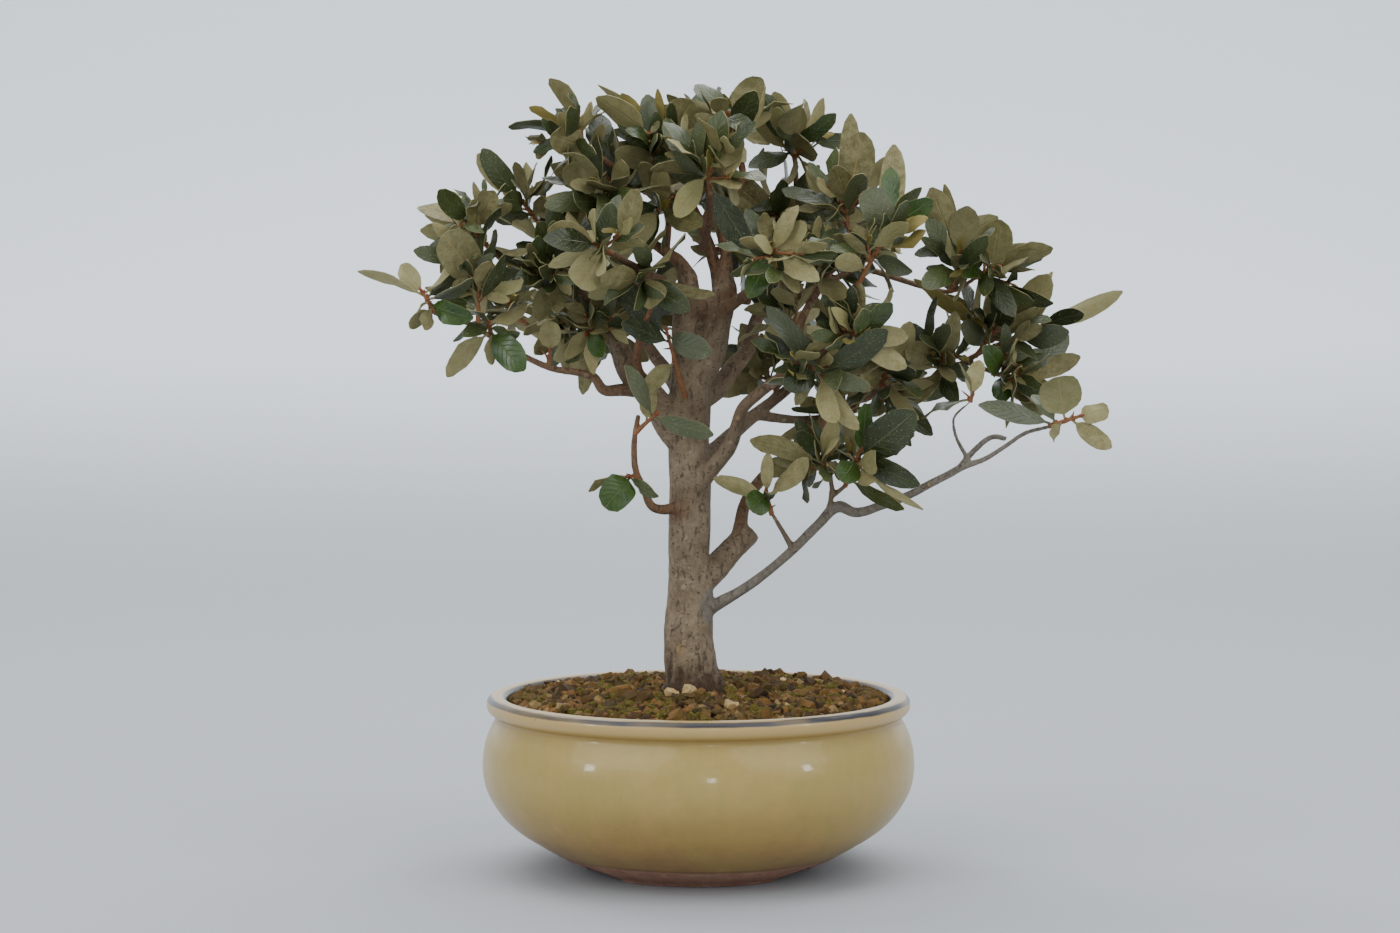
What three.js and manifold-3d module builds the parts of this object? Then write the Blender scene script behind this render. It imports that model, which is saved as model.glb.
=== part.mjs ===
// Thorny olive bonsai in a round glazed pot, after a photograph.
// Millimetres, +Z up, front towards -Y. The pot's axis is x = 0, y = 0 and its foot z = 0 up to the last lines.
import * as THREE from "three";
import { mergeVertices } from "three/addons/utils/BufferGeometryUtils.js";
import Module from "manifold-3d";

const wasm = await Module();
wasm.setup();

// Driving sizes
const CLEARANCE = 0.3; // gap between pieces that touch
const VIEW_DISTANCE = 1787; // how far in front of the pot's axis the eye stands
const VIEW_HEIGHT = 335; // height of the eye over the foot
const POT_SIDES = 32;
const SOIL_EDGE_Z = 99.5;
const SOIL_MIDDLE_Z = 105.5;
const DRAIN_HOLE_RADIUS = 7;
const DRAIN_HOLE_OFFSET = 32; // from the pot's axis, left and right
const FLOOR_Z = 11;
const FOOT_RECESS_Z = 5;
const FOOT_GAP_ANGLES = [210, 330, 90]; // degrees round the pot, from the right
const FOOT_GAP_REACH = 22; // half the width of an arched gap between two feet
const FOOT_GAP_HEIGHT = 9.24;
const KEEL = 0.9; // how far a blade's keel lies under its edges

// Outer and inner wall of the pot as [radius, height], from the foot up, over the lip and down inside
const POT_WALL = [
  [68, 0], [88, 11.5], [110, 25], [124, 41], [129.8, 57], [129.5, 74], [122.8, 90],
  [127, 95.5], [127.2, 101], [125, 104.3], [119, 104.6], [115, 102], [115.5, 95],
  [123, 72], [116, 43], [96, 23], [68, FLOOR_Z],
];

// Wood: each limb is a list of [x, z, depth, radius]. The front view shows the point at x, z in the plane of
// the pot's axis. Depth is how far the point lies behind that plane.
const LIMBS = [
  { name: "trunk", sides: 10, way: [
    [-2, 58, -4, 15], [-2, 80, -4, 19], [-2, 101, -5, 20.5], [-2.5, 108, -5, 18.6], [-4.5, 120, -4, 16.4],
    [-6, 138, -3, 15.6], [-5, 162, -1, 14.4], [-5.5, 186, 0, 12.7], [-5.5, 210, 0, 13.1], [-5, 234, 0, 13],
    [-6, 258, 0, 13], [-5, 282, 1, 13.2], [-4, 300, 2, 13], [-4, 311, 3, 9.5]] },
  { name: "root_right", sides: 5, way: [[2, 112, -6, 9], [14, 104, -9, 6.5], [26, 97, -13, 4.5],
    [36, 88, -16, 3]] },
  { name: "root_left", sides: 5, way: [[-8, 112, -4, 9], [-20, 103, -6, 6.5], [-30, 94, -8, 4],
    [-38, 86, -10, 3]] },
  { name: "root_front", sides: 5, way: [[-3, 112, -10, 9], [-5, 104, -24, 6.5], [-7, 95, -36, 4],
    [-8, 86, -44, 3]] },
  { name: "root_back", sides: 5, way: [[-2, 112, 4, 9], [2, 104, 16, 6.5], [4, 94, 30, 4.5],
    [5, 86, 40, 3]] },
  { name: "left_stem", sides: 7, way: [
    [-4, 292, 2, 10], [-8.5, 318, 0, 8], [-7, 340, -1, 8.4], [-6.5, 354, -2, 6.6], [-11, 364, -4, 4.6],
    [-22, 372, -8, 3.4], [-36, 384, -12, 3], [-43, 400, -14, 2.8], [-48, 418, -16, 2.6],
    [-60, 428, -18, 2.3]] },
  { name: "right_stem", sides: 7, way: [
    [-3, 292, 2, 10.5], [8, 314, 2, 9.4], [11.5, 334, 2, 9.2], [15.5, 346, 2, 8], [15.5, 358, 3, 5.6],
    [16.5, 370, 5, 4], [14, 382, 8, 3.4], [18, 398, 10, 3], [26, 414, 10, 2.7],
    [23, 436, 8, 2.3]] },
  { name: "bridge", sides: 5, way: [[-8, 337, -2, 5.5], [2, 337.5, -2, 5], [12, 337, -1, 5.5]] },
  { name: "leader", sides: 5, way: [
    [16, 348, 3, 6], [11, 358, 6, 4.2], [6, 374, 10, 3.6], [3, 384, 12, 3.2], [6.5, 398, 16, 2.8],
    [6, 412, 20, 2.4]] },
  { name: "top_left_stem", sides: 5, way: [[-20, 371, -8, 3.2], [-18, 386, -2, 2.6], [-19, 404, 2, 2.3],
    [-21, 420, 4, 2]] },
  { name: "stump_right", sides: 5, way: [[14, 341, 1, 5], [22, 342.5, -4, 3.8], [31, 341, -9, 3]] },
  { name: "left_limb", sides: 7, way: [
    [-4, 252, 0, 10], [-17, 266, -2, 9.6], [-26, 282, -5, 8.6], [-41, 298, -8, 7.6], [-48, 314, -10, 6.8],
    [-58, 330, -10, 6.2], [-70, 343, -8, 5], [-77, 354, -5, 4.2], [-87, 366, 0, 3.4], [-95, 379, 6, 2.8],
    [-92, 394, 12, 2.4]] },
  { name: "left_upper", sides: 5, way: [
    [-62, 333, -10, 4.2], [-76, 338, -16, 3.4], [-92, 348, -20, 3], [-108, 359, -22, 2.5],
    [-126, 373, -24, 1.9]] },
  { name: "left_lower", sides: 5, way: [
    [-34, 288, -8, 6], [-47, 288, -14, 5], [-57, 288, -18, 4.3], [-63, 296, -22, 3.7], [-70, 298, -26, 3.2],
    [-88, 301, -34, 2.9], [-104, 308, -40, 2.6], [-126, 321, -46, 2.4], [-138, 328, -50, 2.1],
    [-147, 329, -52, 2], [-160, 335, -54, 1.7]] },
  { name: "left_riser", sides: 5, way: [[-30, 286, -8, 4.4], [-37, 304, -20, 3.4], [-34, 322, -34, 2.8],
    [-28, 338, -46, 2]] },
  { name: "trunk_riser", sides: 5, way: [
    [-9, 220, -2, 6], [-21, 216, -14, 4.6], [-28, 218, -20, 4], [-33, 229, -24, 3.5],
    [-37.5, 239, -26, 3.2],
    [-38.7, 251, -28, 3], [-38, 262, -30, 2.7], [-36, 273, -32, 2.4]] },
  { name: "low_right", sides: 5, way: [
    [-2, 152, -2, 8], [11, 159, -4, 4.4], [26, 167.5, -6, 3.6], [48, 184, -9, 3.3], [58, 193, -11, 3.5],
    [72, 207, -14, 3.5], [85, 218, -18, 4.2], [93, 214.5, -20, 3.6], [110, 218.5, -24, 3.2],
    [128, 225.5, -28, 3],
    [140, 232, -30, 2.9], [150, 237, -32, 2.8], [159, 242, -34, 2.7], [171, 246, -36, 2],
    [184, 254, -38, 1.8],
    [196, 262, -40, 1.7], [211, 266, -42, 1.5]] },
  { name: "low_right_fork", sides: 5, way: [[156, 240, -33, 2.6], [165, 251, -30, 2.2],
    [178, 260, -28, 2.1], [185, 258.5, -28, 2]] },
  { name: "low_right_twig", sides: 5, way: [[162, 246, -32, 2], [154, 262, -36, 1.6],
    [153, 270, -38, 1.4], [163, 281, -42, 1.1]] },
  { name: "low_riser_one", sides: 5, way: [[57, 192, -11, 2.6], [50, 204, -18, 1.9], [44, 214, -24, 1.5]] },
  { name: "low_riser_two", sides: 5, way: [[72, 206, -14, 2.8], [78, 216, -18, 2.2], [80, 226, -22, 2],
    [79, 240, -26, 1.6]] },
  { name: "low_riser_fork", sides: 5, way: [[79, 223, -21, 2], [89, 231, -27, 1.7]] },
  { name: "thick_right", sides: 7, way: [
    [-3, 170, 0, 10], [7, 178, 6, 9], [22, 194, 14, 7.8], [29, 200, 17, 7.4], [32, 203, 18.5, 6.6]] },
  { name: "thick_right_regrowth", sides: 5, way: [
    [24, 195, 13, 6.5], [25.5, 208, 16, 4.8], [27, 217, 20, 4.2], [41, 238, 26, 4.2], [51, 247, 30, 4],
    [60, 253, 34, 3.8], [68, 263, 38, 3.6], [77, 270, 42, 3.5], [110, 288, 50, 3.2], [125, 291, 52, 3],
    [144, 296, 54, 2.7], [163, 307, 56, 2.3], [172, 312, 57, 2]] },
  { name: "thick_right_tip", sides: 5, way: [[160, 305, 56, 2.2], [178, 298, 50, 1.9]] },
  { name: "middle_right", sides: 5, way: [
    [-10, 221, -2, 8], [1, 232, -8, 6], [9.5, 242.5, -12, 5.6], [18, 253, -16, 5.3], [23, 266, -20, 4.6],
    [26, 276, -22, 4.2], [35, 285, -26, 4.1], [44, 292, -28, 4], [55, 300, -30, 3.8], [60, 310, -30, 3.4],
    [61, 327, -28, 3], [74, 351, -24, 2.7], [81, 363, -22, 2.5], [89, 376, -20, 2.1]] },
  { name: "middle_shoot", sides: 5, way: [[54, 299, -30, 3.4], [64, 305, -40, 3], [75, 311, -48, 2.7],
    [86, 325, -50, 2.6], [93, 339, -48, 2.4], [95, 352, -44, 2]] },
  { name: "dark_limb", sides: 5, way: [
    [-4, 280, 4, 8], [10, 287, 10, 6.4], [19.5, 300, 16, 6], [28.5, 311, 22, 5.4], [33, 325, 28, 4.8],
    [38, 338, 36, 4.2], [47, 352, 44, 3.8], [52, 368, 52, 3.3], [54, 386, 58, 2.9], [58, 404, 55, 2.4],
    [58, 424, 45, 2]] },
  { name: "dark_limb_right", sides: 5, way: [[36, 333, 33, 3.6], [56, 342, 44, 3], [76, 352, 52, 2.7],
    [98, 360, 56, 2.5], [118, 355, 49, 2.4], [134, 350, 40, 2.2], [151, 347, 30, 2],
    [166, 355, 22, 1.6]] },
  { name: "back_left", sides: 5, way: [
    [-4, 270, 4, 7.5], [-12, 288, 22, 5.6], [-26, 308, 46, 4.6], [-40, 326, 70, 3.8],
    [-53, 346, 97, 2.6]] },
  { name: "back_left_low", sides: 5, way: [[-30, 312, 52, 4], [-54, 314, 64, 3.2], [-78, 318, 76, 2.7],
    [-104, 328, 85, 2]] },
  { name: "back_right", sides: 5, way: [
    [-4, 240, 4, 7.5], [12, 254, 24, 5.6], [30, 270, 46, 4.8], [48, 284, 68, 4], [72, 304, 98, 2.6]] },
  { name: "back_right_low", sides: 5, way: [[34, 273, 50, 3.8], [62, 270, 62, 3.2], [88, 274, 76, 2.5],
    [102, 278, 83, 2]] },
  { name: "back_top", sides: 5, way: [[12, 330, 4, 6], [12, 350, 26, 4.8], [8, 370, 48, 4],
    [0, 393, 73, 2.6]] },
  { name: "front_right", sides: 5, way: [[12, 334, -2, 5.5], [24, 342, -18, 4], [34, 350, -38, 3.2],
    [42, 364, -67, 2.2]] },
  { name: "front_left", sides: 5, way: [[-6, 338, -2, 6], [-18, 350, -18, 4.2], [-32, 358, -38, 3.4],
    [-51, 369, -66, 2.3]] },
  { name: "front_top", sides: 5, way: [[2, 372, 10, 3.4], [6, 386, -8, 3], [7, 406, -36, 2.1]] },
];

// Leafy shoots. Each is [name, foot, tip, leaves by rule, their length, picked leaves], with foot and tip as
// [x, z, depth]. A picked leaf is [place along the shoot, x, z and depth of its tip, width, facing]. Facing is 0
// with its upper side to the front, 180 with its underside and 90 with its edge.
const SHOOTS = [
  ["far_left", [-158, 335, -53], [-165, 346, -56], 1, 22, [
    [0.9, -204, 359, -50, 12, 118], [1, -146, 371, -46, 11, 112], [0.2, -173, 325, -58, 9, 150],
    [0.3, -164, 324, -62, 9, 150], [0.7, -135, 355, -62, 10, 55], [0.8, -144, 358, -38, 11, 40],
    [0.5, -135, 331, -68, 14, 20], [0.6, -169, 334, -66, 5, 100]]],
  ["left_node", [-124, 320, -46], [-126, 328, -54], 1, 24, [
    [0.5, -104, 300, -66, 18, 12], [0.8, -107, 322, -64, 12, 50], [1, -103, 340, -36, 11, 140],
    [0.7, -141, 320, -66, 10, 35], [0.4, -151, 296, -62, 13, 150], [0.3, -124, 303, -54, 7, 160]]],
  ["left_vertical", [-132, 325, -48], [-132, 362, -44], 2, 28, [
    [0.85, -151, 380, -62, 25, 176], [0.45, -116, 369, -54, 10, 45], [0.6, -150, 356, -36, 9, 40],
    [1, -121, 384, -36, 10, 60], [0.3, -135, 334, -30, 8, 60]]],
  ["left_upper_tip", [-123, 370, -24], [-138, 388, -28], 3, 34, [
    [0.8, -122, 407, -40, 14, 172], [1, -150, 406, 0, 10, 125], [0.3, -93, 373, -36, 10, 115],
    [0.6, -119, 397, -50, 8, 60], [0.4, -100, 362, -8, 11, 30]]],
  ["left_upper_mid", [-92, 348, -20], [-88, 362, -32], 4, 34, [
    [0.7, -84, 335, -40, 14, 172], [0.9, -110, 352, -40, 13, 25], [0.5, -96, 329, -30, 11, 172]]],
  ["left_crown", [-93, 384, 8], [-107, 403, 2], 3, 36, [
    [1, -132, 429, 0, 15, 178], [0.9, -88, 428, -10, 8, 80], [0.8, -103, 424, 14, 8, 120],
    [0.9, -117, 402, -24, 13, 10], [0.5, -121, 389, -14, 13, 25], [0.6, -78, 398, -14, 12, 160]]],
  ["left_limb_mid", [-77, 354, -5], [-82, 368, -24], 4, 36, [
    [0.9, -97, 388, -40, 15, 25], [0.6, -59, 372, -44, 14, 165], [1, -76, 392, -34, 12, 170]]],
  ["left_limb_low", [-58, 330, -10], [-66, 322, -24], 2, 32, [
    [0.6, -80, 307, -30, 10, 150], [0.8, -69, 283, -34, 11, 168], [1, -57, 308, -46, 11, 20]]],
  ["left_limb_back", [-50, 316, -8], [-62, 330, 26], 6, 38, []],
  ["left_lower_mid", [-90, 302, -35], [-89, 311, -34], 0, 24, [[1, -89, 329, -36, 13, 178]]],
  ["upper_left", [-60, 428, -18], [-78, 442, -20], 1, 34, [
    [1, -101, 457, -24, 8, 140], [0.8, -82, 456, -6, 15, 6], [0.9, -64, 460, -22, 9, 130],
    [0.4, -56, 446, -34, 9, 150], [0.2, -57, 452, 4, 14, 12], [0.3, -88, 440, -42, 18, 172]]],
  ["upper_left_low", [-46, 410, -15], [-60, 401, -30], 3, 38, [
    [0.7, -80, 421, -40, 18, 175], [0.9, -94, 415, -20, 9, 60], [0.6, -44, 424, -44, 13, 162],
    [1, -92, 398, -50, 13, 20], [0.3, -90, 384, -10, 12, 165]]],
  ["upper_left_back", [-44, 402, -14], [-52, 412, 18], 6, 40, []],
  ["top_left", [-21, 418, 4], [-26, 433, 4], 1, 38, [
    [1, -46, 465, -4, 11, 172], [0.9, -60, 470, 14, 9, 110], [0.9, -30, 465, 18, 15, 8],
    [1, -24, 467, 8, 8, 150], [0.8, -4, 461, -14, 24, 178], [0.3, -50, 430, -24, 14, 165]]],
  ["top_left_low", [-19, 400, 0], [-24, 396, -18], 2, 38, [
    [0.7, -58, 388, -30, 15, 20], [0.9, 2, 386, -46, 15, 165], [0.5, -34, 424, -36, 12, 168]]],
  ["leader_tip", [6.2, 410.4, 20.1], [2.4, 430.4, 29.1], 5, 40, [
    [0.2, -18, 424, -16, 19, 6], [0.8, 24, 468, 34, 12, 30]]],
  ["top_middle", [23, 436, 8], [18, 452, 5], 0, 38, [
    [1, 38, 474, 0, 18, 178], [0.8, 40, 435, -4, 8, 115], [0.6, 27, 424, -18, 10, 155],
    [0.9, -20, 430, -12, 10, 150], [0.9, -2, 470, 22, 13, 25]]],
  ["top_right", [58, 423, 45], [55, 438, 38], 1, 40, [
    [1, 45, 466, 36, 13, 174], [0.9, 44, 457, 22, 11, 176], [0.9, 82, 453, 30, 12, 30],
    [0.3, 66, 436, 8, 21, 178], [0.5, 30, 421, 20, 12, 30]]],
  ["top_right_low", [54, 385, 57], [46, 392, 34], 3, 42, [
    [0.9, 12, 398, 20, 13, 165], [0.6, 68, 402, 8, 12, 168], [1, 50, 414, 4, 12, 20]]],
  ["right_top", [88, 374, -20], [90, 405, -14], 2, 36, [
    [1, 98, 442, -14, 22, 174], [0.9, 91, 453, 2, 13, 176], [0.8, 82, 422, -34, 15, 170],
    [0.9, 114, 428, -4, 11, 160], [0.5, 66, 400, -30, 9, 100], [0.4, 75, 372, -50, 13, 20]]],
  ["right_high", [95, 350, -45], [116, 388, -40], 1, 34, [
    [0.9, 101, 408, -46, 20, 14], [1, 140, 402, -50, 14, 12], [0.9, 137, 391, -62, 9, 150],
    [0.7, 136, 383, -60, 10, 140], [1, 115, 421, -20, 13, 20], [1, 117, 434, -14, 16, 170],
    [0.5, 128, 359, -66, 11, 25], [0.3, 82, 366, -64, 12, 160]]],
  ["right_upper", [151, 347, 30], [157, 369, 14], 2, 36, [
    [0.9, 139, 409, 10, 18, 174], [1, 161, 398, 4, 18, 178], [0.8, 147, 411, 20, 8, 160],
    [0.6, 134, 350, -8, 15, 20]]],
  ["right_upper_tip", [167, 355, 22], [180, 362, 15], 1, 34, [
    [0.7, 180, 390, 10, 20, 168], [1, 207, 369, 20, 10, 40], [0.4, 158, 356, -4, 9, 30]]],
  ["right_far", [171, 311, 57], [206, 327, 42], 1, 38, [
    [0.9, 254, 347, 36, 12, 160], [0.6, 222, 323, 30, 16, 20], [1, 220, 330, 52, 6, 140],
    [0.4, 210, 357, 36, 20, 176]]],
  ["right_node", [166, 308, 56], [178, 325, 44], 2, 38, [
    [1, 188, 350, 30, 24, 178], [0.7, 130, 355, 34, 13, 135], [0.6, 157, 326, 26, 16, 25],
    [0.9, 212, 358, 58, 10, 120], [0.4, 184, 304, 30, 16, 170]]],
  ["right_low", [176, 298, 50], [192, 295, 40], 1, 36, [
    [1, 229, 308, 36, 13, 168], [0.4, 184, 281, 26, 15, 25], [0.7, 200, 281, 30, 12, 160],
    [0.2, 172, 312, 14, 15, 10]]],
  ["right_regrowth_mid", [144, 296, 54], [146, 308, 36], 4, 36, [
    [0.6, 156, 280, 30, 12, 30], [0.9, 124, 312, 20, 15, 170]]],
  ["right_regrowth_low", [110, 288, 49], [113, 302, 30], 3, 36, [
    [0.5, 132, 270, 16, 9, 150], [0.9, 96, 290, 8, 14, 165], [0.8, 130, 300, 4, 14, 30]]],
  ["right_regrowth_back", [77, 270, 42], [90, 282, 74], 5, 38, []],
  ["low_right_end", [210, 266, -42], [228, 272, -44], 0, 34, [
    [0.6, 216, 296, -56, 25, 178], [1, 246, 277, -44, 13, 150], [0.8, 248, 253, -50, 12, 164],
    [0.2, 168, 279, -54, 12, 22], [0.3, 200, 285, -34, 11, 40], [0.5, 213, 258, -64, 8, 150]]],
  ["low_right_mid", [163, 281, -42], [164, 284, -43], 2, 26, [[0.5, 134, 271, -40, 8, 70]]],
  ["low_centre", [88, 230, -26], [97, 251, -38], 0, 36, [
    [0.9, 130, 275, -54, 24, 6], [0.9, 133, 231, -58, 14, 12], [0.7, 135, 216, -34, 8, 120],
    [0.8, 86, 233, -56, 16, 6], [0.5, 107, 233, -46, 10, 150], [1, 100, 280, -50, 12, 30]]],
  ["low_one", [44, 213, -24], [41, 226, -31], 2, 26, [
    [1, 31, 216, -44, 16, 6], [0.8, 9, 235, -30, 10, 165], [0.9, 66, 247, -44, 12, 160]]],
  ["low_two", [79, 236, -26], [73, 247, -30], 4, 30, [
    [0.8, 31, 258, -44, 14, 155], [1, 82, 270, -46, 11, 165]]],
  ["middle_node", [64, 305, -40], [74, 297, -54], 1, 36, [
    [0.9, 41, 338, -62, 13, 18], [1, 113, 324, -62, 18, 25], [0.8, 51, 290, -66, 17, 8],
    [0.7, 96, 264, -62, 12, 160], [1, 82, 268, -72, 13, 165], [0.5, 88, 318, -34, 12, 170]]],
  ["middle_shoot_low", [86, 325, -50], [96, 320, -60], 4, 32, [
    [0.8, 124, 302, -70, 14, 168], [0.6, 116, 340, -64, 14, 30]]],
  ["middle_right_mid", [61, 325, -28], [50, 334, -10], 4, 32, [[0.6, 42, 316, -22, 14, 174]]],
  ["middle_right_high", [74, 351, -24], [66, 362, -36], 4, 36, [
    [0.5, 88, 343, -56, 14, 170], [0.9, 66, 382, -54, 12, 25]]],
  ["front_right", [42, 364.5, -67], [45, 371, -78], 3, 36, [
    [0.7, 30, 343, -84, 14, 8], [0.9, 60, 346, -88, 10, 150], [1, 64, 388, -88, 13, 165]]],
  ["front_top", [7, 408, -37], [5, 420, -52], 3, 40, [
    [0.3, 35, 365, -46, 17, 12], [0.8, -14, 392, -70, 14, 165], [1, 26, 440, -62, 16, 172]]],
  ["front_left", [-52, 369.5, -66], [-61, 375, -80], 3, 38, [
    [0.5, -72, 350, -86, 20, 174], [0.9, -90, 384, -90, 16, 168], [1, -52, 400, -88, 13, 25]]],
  ["front_left_mid", [-32, 358, -38], [-36, 352, -52], 2, 38, [
    [0.9, -23, 341, -66, 17, 178], [0.8, -66, 344, -46, 13, 162], [0.6, 10, 345, -52, 10, 140]]],
  ["trunk_shoot", [-8, 283, -12], [-19, 323, -32], 0, 36, [
    [1, -49, 351, -46, 14, 14], [0.9, -46, 327, -48, 12, 18], [1, 8, 311, -50, 16, 20],
    [0.6, -32, 287, -34, 12, 160]]],
  ["riser_tip", [-38, 262, -30], [-26, 273, -38], 0, 34, [
    [0.9, -44, 303, -50, 12, 40], [1, 9, 261, -58, 12, 22], [0.6, -30, 293, -30, 11, 165]]],
  ["riser_low", [-36, 236, -25], [-42, 236, -34], 0, 28, [
    [0.8, -56, 217, -46, 20, 8], [0.6, -66, 227, -22, 8, 120], [0.9, -24, 224, -48, 8, 30]]],
  ["back_left_tip", [-52.5, 345, 96], [-64, 366, 122], 8, 40, []],
  ["back_left_mid", [-36, 320, 62], [-28, 338, 84], 8, 40, []],
  ["back_left_low_tip", [-102.5, 327.7, 84.4], [-124, 338, 96], 8, 38, []],
  ["back_left_low_mid", [-72, 317, 74], [-78, 334, 60], 8, 38, []],
  ["back_right_tip", [71.3, 303.4, 97], [84, 320, 120], 8, 40, []],
  ["back_right_mid", [48, 284, 68], [40, 300, 88], 8, 40, []],
  ["back_right_low_tip", [101.2, 277.8, 82.4], [122, 286, 96], 8, 38, []],
  ["back_top_tip", [0.2, 392.3, 72.3], [-10, 414, 92], 9, 40, []],
  ["back_top_mid", [8, 370, 48], [24, 380, 72], 8, 40, []],
  ["dark_limb_back", [76, 352, 52], [84, 366, 80], 8, 40, []],
];

// Rings of a blade as [place from root to tip, share of its half width]
const PICKED_BLADE = [[0.13, 0.08], [0.36, 0.86], [0.62, 1], [0.86, 0.62]];
const RULE_BLADE = [[0.12, 0.09], [0.38, 0.95], [0.76, 0.84]];
const NARROW_WIDTH = 13; // below it a picked leaf has the simpler blade
const TWIG_RADII = [1.8, 1.5];
const LAST_ROOT = 0.93; // share of the twig up to which leaves sit
const ROOT_OFFSET = 0.6; // of a leaf's root from the middle of its twig
const GOLDEN_ANGLE = 2.39996;
const PICKED_TRIES = 16;
const RULE_TRIES = 26;
const CROWDED_ROOT = 0.3; // share of a blade that may touch the other leaves of its own shoot
const POT_REACH = 140; // leaves nearer the pot's axis than this stay over the soil

const UP = new THREE.Vector3(0, 0, 1);
const TO_EYE = new THREE.Vector3(0, -1, 0);

// A number from 0 to 1 that depends on three whole numbers and nothing else
function draw(seed, attempt, channel) {
  let h = Math.imul(seed + 1, 2654435761) ^ Math.imul(attempt + 1, 2246822519);
  h ^= Math.imul(channel + 1, 3266489917);
  h = Math.imul(h ^ (h >>> 15), 2246822519);
  h = Math.imul(h ^ (h >>> 13), 3266489917);
  return ((h ^ (h >>> 16)) >>> 0) / 4294967296;
}

const spread = (seed, attempt, channel) => draw(seed, attempt, channel) - 0.5;

// The point at a depth that the front view shows at x, z
function seen([x, z, depth]) {
  const scale = 1 + depth / VIEW_DISTANCE;
  return new THREE.Vector3(x * scale, depth, VIEW_HEIGHT + (z - VIEW_HEIGHT) * scale);
}

// A closed solid from vertices and faces that share them
function solidOf(vertProperties, triVerts) {
  const made = new wasm.Manifold(new wasm.Mesh({ numProp: 3, vertProperties, triVerts }));
  if (made.volume() > 0) return made;
  const turned = triVerts.slice();
  for (let i = 0; i < turned.length; i += 3) [turned[i], turned[i + 1]] = [turned[i + 1], turned[i]];
  return new wasm.Manifold(new wasm.Mesh({ numProp: 3, vertProperties, triVerts: turned }));
}

function solidOfGeometry(geometry) {
  geometry.deleteAttribute("normal");
  geometry.deleteAttribute("uv");
  const merged = mergeVertices(geometry, 1e-4);
  return solidOf(new Float32Array(merged.attributes.position.array), new Uint32Array(merged.index.array));
}

function geometryOf(solid) {
  const mesh = solid.getMesh();
  const geometry = new THREE.BufferGeometry();
  geometry.setAttribute("position", new THREE.BufferAttribute(new Float32Array(mesh.vertProperties), 3));
  geometry.setIndex(new THREE.BufferAttribute(new Uint32Array(mesh.triVerts), 1));
  return geometry;
}

function union(solids) {
  return wasm.Manifold.union(solids);
}

// The body that is left when loose scraps are dropped
function largestPiece(solid) {
  const pieces = solid.decompose();
  return pieces.reduce((best, piece) => (piece.volume() > best.volume() ? piece : best));
}

// A tapering round branch along a way of points, each with its own radius, with a blunt end
function branchSolid(points, radii, sides, extra = 0) {
  const last = points.length - 1;
  const bar = new THREE.CylinderGeometry(1, 1, 1, sides, last);
  const place = bar.attributes.position;
  const tangents = points.map((point, i) =>
    points[Math.min(i + 1, last)].clone().sub(points[Math.max(i - 1, 0)]).normalize());
  const across = [new THREE.Vector3().crossVectors(tangents[0], TO_EYE).normalize()];
  for (let i = 1; i <= last; i += 1) {
    const turn = new THREE.Quaternion().setFromUnitVectors(tangents[i - 1], tangents[i]);
    across.push(across[i - 1].clone().applyQuaternion(turn));
  }
  for (let v = 0; v < place.count; v += 1) {
    const i = Math.round((place.getY(v) + 0.5) * last);
    const aside = new THREE.Vector3().crossVectors(across[i], tangents[i]);
    const radius = radii[i] + extra;
    const point = points[i].clone().addScaledVector(across[i], place.getX(v) * radius);
    point.addScaledVector(aside, place.getZ(v) * radius);
    const middle = Math.hypot(place.getX(v), place.getZ(v)) < 0.5;
    if (middle) point.addScaledVector(tangents[i], (i === 0 ? -1 : 1) * (radii[i] * 0.5 + extra));
    place.setXYZ(v, point.x, point.y, point.z);
  }
  return solidOfGeometry(bar);
}

function woodSolid(extra) {
  const limbs = LIMBS.map(({ sides, way }) => {
    const radii = way.map((row) => row[3]);
    return branchSolid(way.map(seen), radii, sides, extra);
  });
  return largestPiece(union(limbs));
}

// A cylinder that stands upright
function upright(radius, height, sides) {
  return new THREE.CylinderGeometry(radius, radius, height, sides).rotateX(Math.PI / 2);
}

// Pot: one fired wall turned round its axis, with three arched gaps in the foot and the drain holes
function potSolid() {
  const profile = [[0, FOOT_RECESS_Z], [56, FOOT_RECESS_Z], [58, 0], ...POT_WALL, [0, FLOOR_Z]];
  const turned = new THREE.LatheGeometry(profile.map(([r, z]) => new THREE.Vector2(r, z)), POT_SIDES);
  let pot = solidOfGeometry(turned.rotateX(Math.PI / 2));
  for (const angle of FOOT_GAP_ANGLES) {
    const gap = new THREE.CylinderGeometry(FOOT_GAP_REACH, FOOT_GAP_REACH, 60, 20);
    gap.scale(1, 1, FOOT_GAP_HEIGHT / FOOT_GAP_REACH).rotateZ(-Math.PI / 2);
    gap.translate(80, 0, 0).rotateZ(THREE.MathUtils.degToRad(angle));
    pot = pot.subtract(solidOfGeometry(gap));
  }
  for (const side of [-1, 1]) {
    const hole = upright(DRAIN_HOLE_RADIUS, 30, 16);
    pot = pot.subtract(solidOfGeometry(hole.translate(side * DRAIN_HOLE_OFFSET, 0, 8)));
  }
  return pot;
}

// Drain screen: a thin mesh disc with square openings, lying on the floor over a hole
const SCREEN_RADIUS = 15;
const SCREEN_THICKNESS = 1.2;
function screenSolid(side) {
  const lift = FLOOR_Z + CLEARANCE + SCREEN_THICKNESS / 2;
  let screen = solidOfGeometry(upright(SCREEN_RADIUS, SCREEN_THICKNESS, 14));
  for (const x of [-4, 4]) {
    for (const y of [-4, 4]) {
      screen = screen.subtract(solidOfGeometry(new THREE.BoxGeometry(5, 5, 4).translate(x, y, 0)));
    }
  }
  return screen.translate([side * DRAIN_HOLE_OFFSET, 0, lift]);
}

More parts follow.
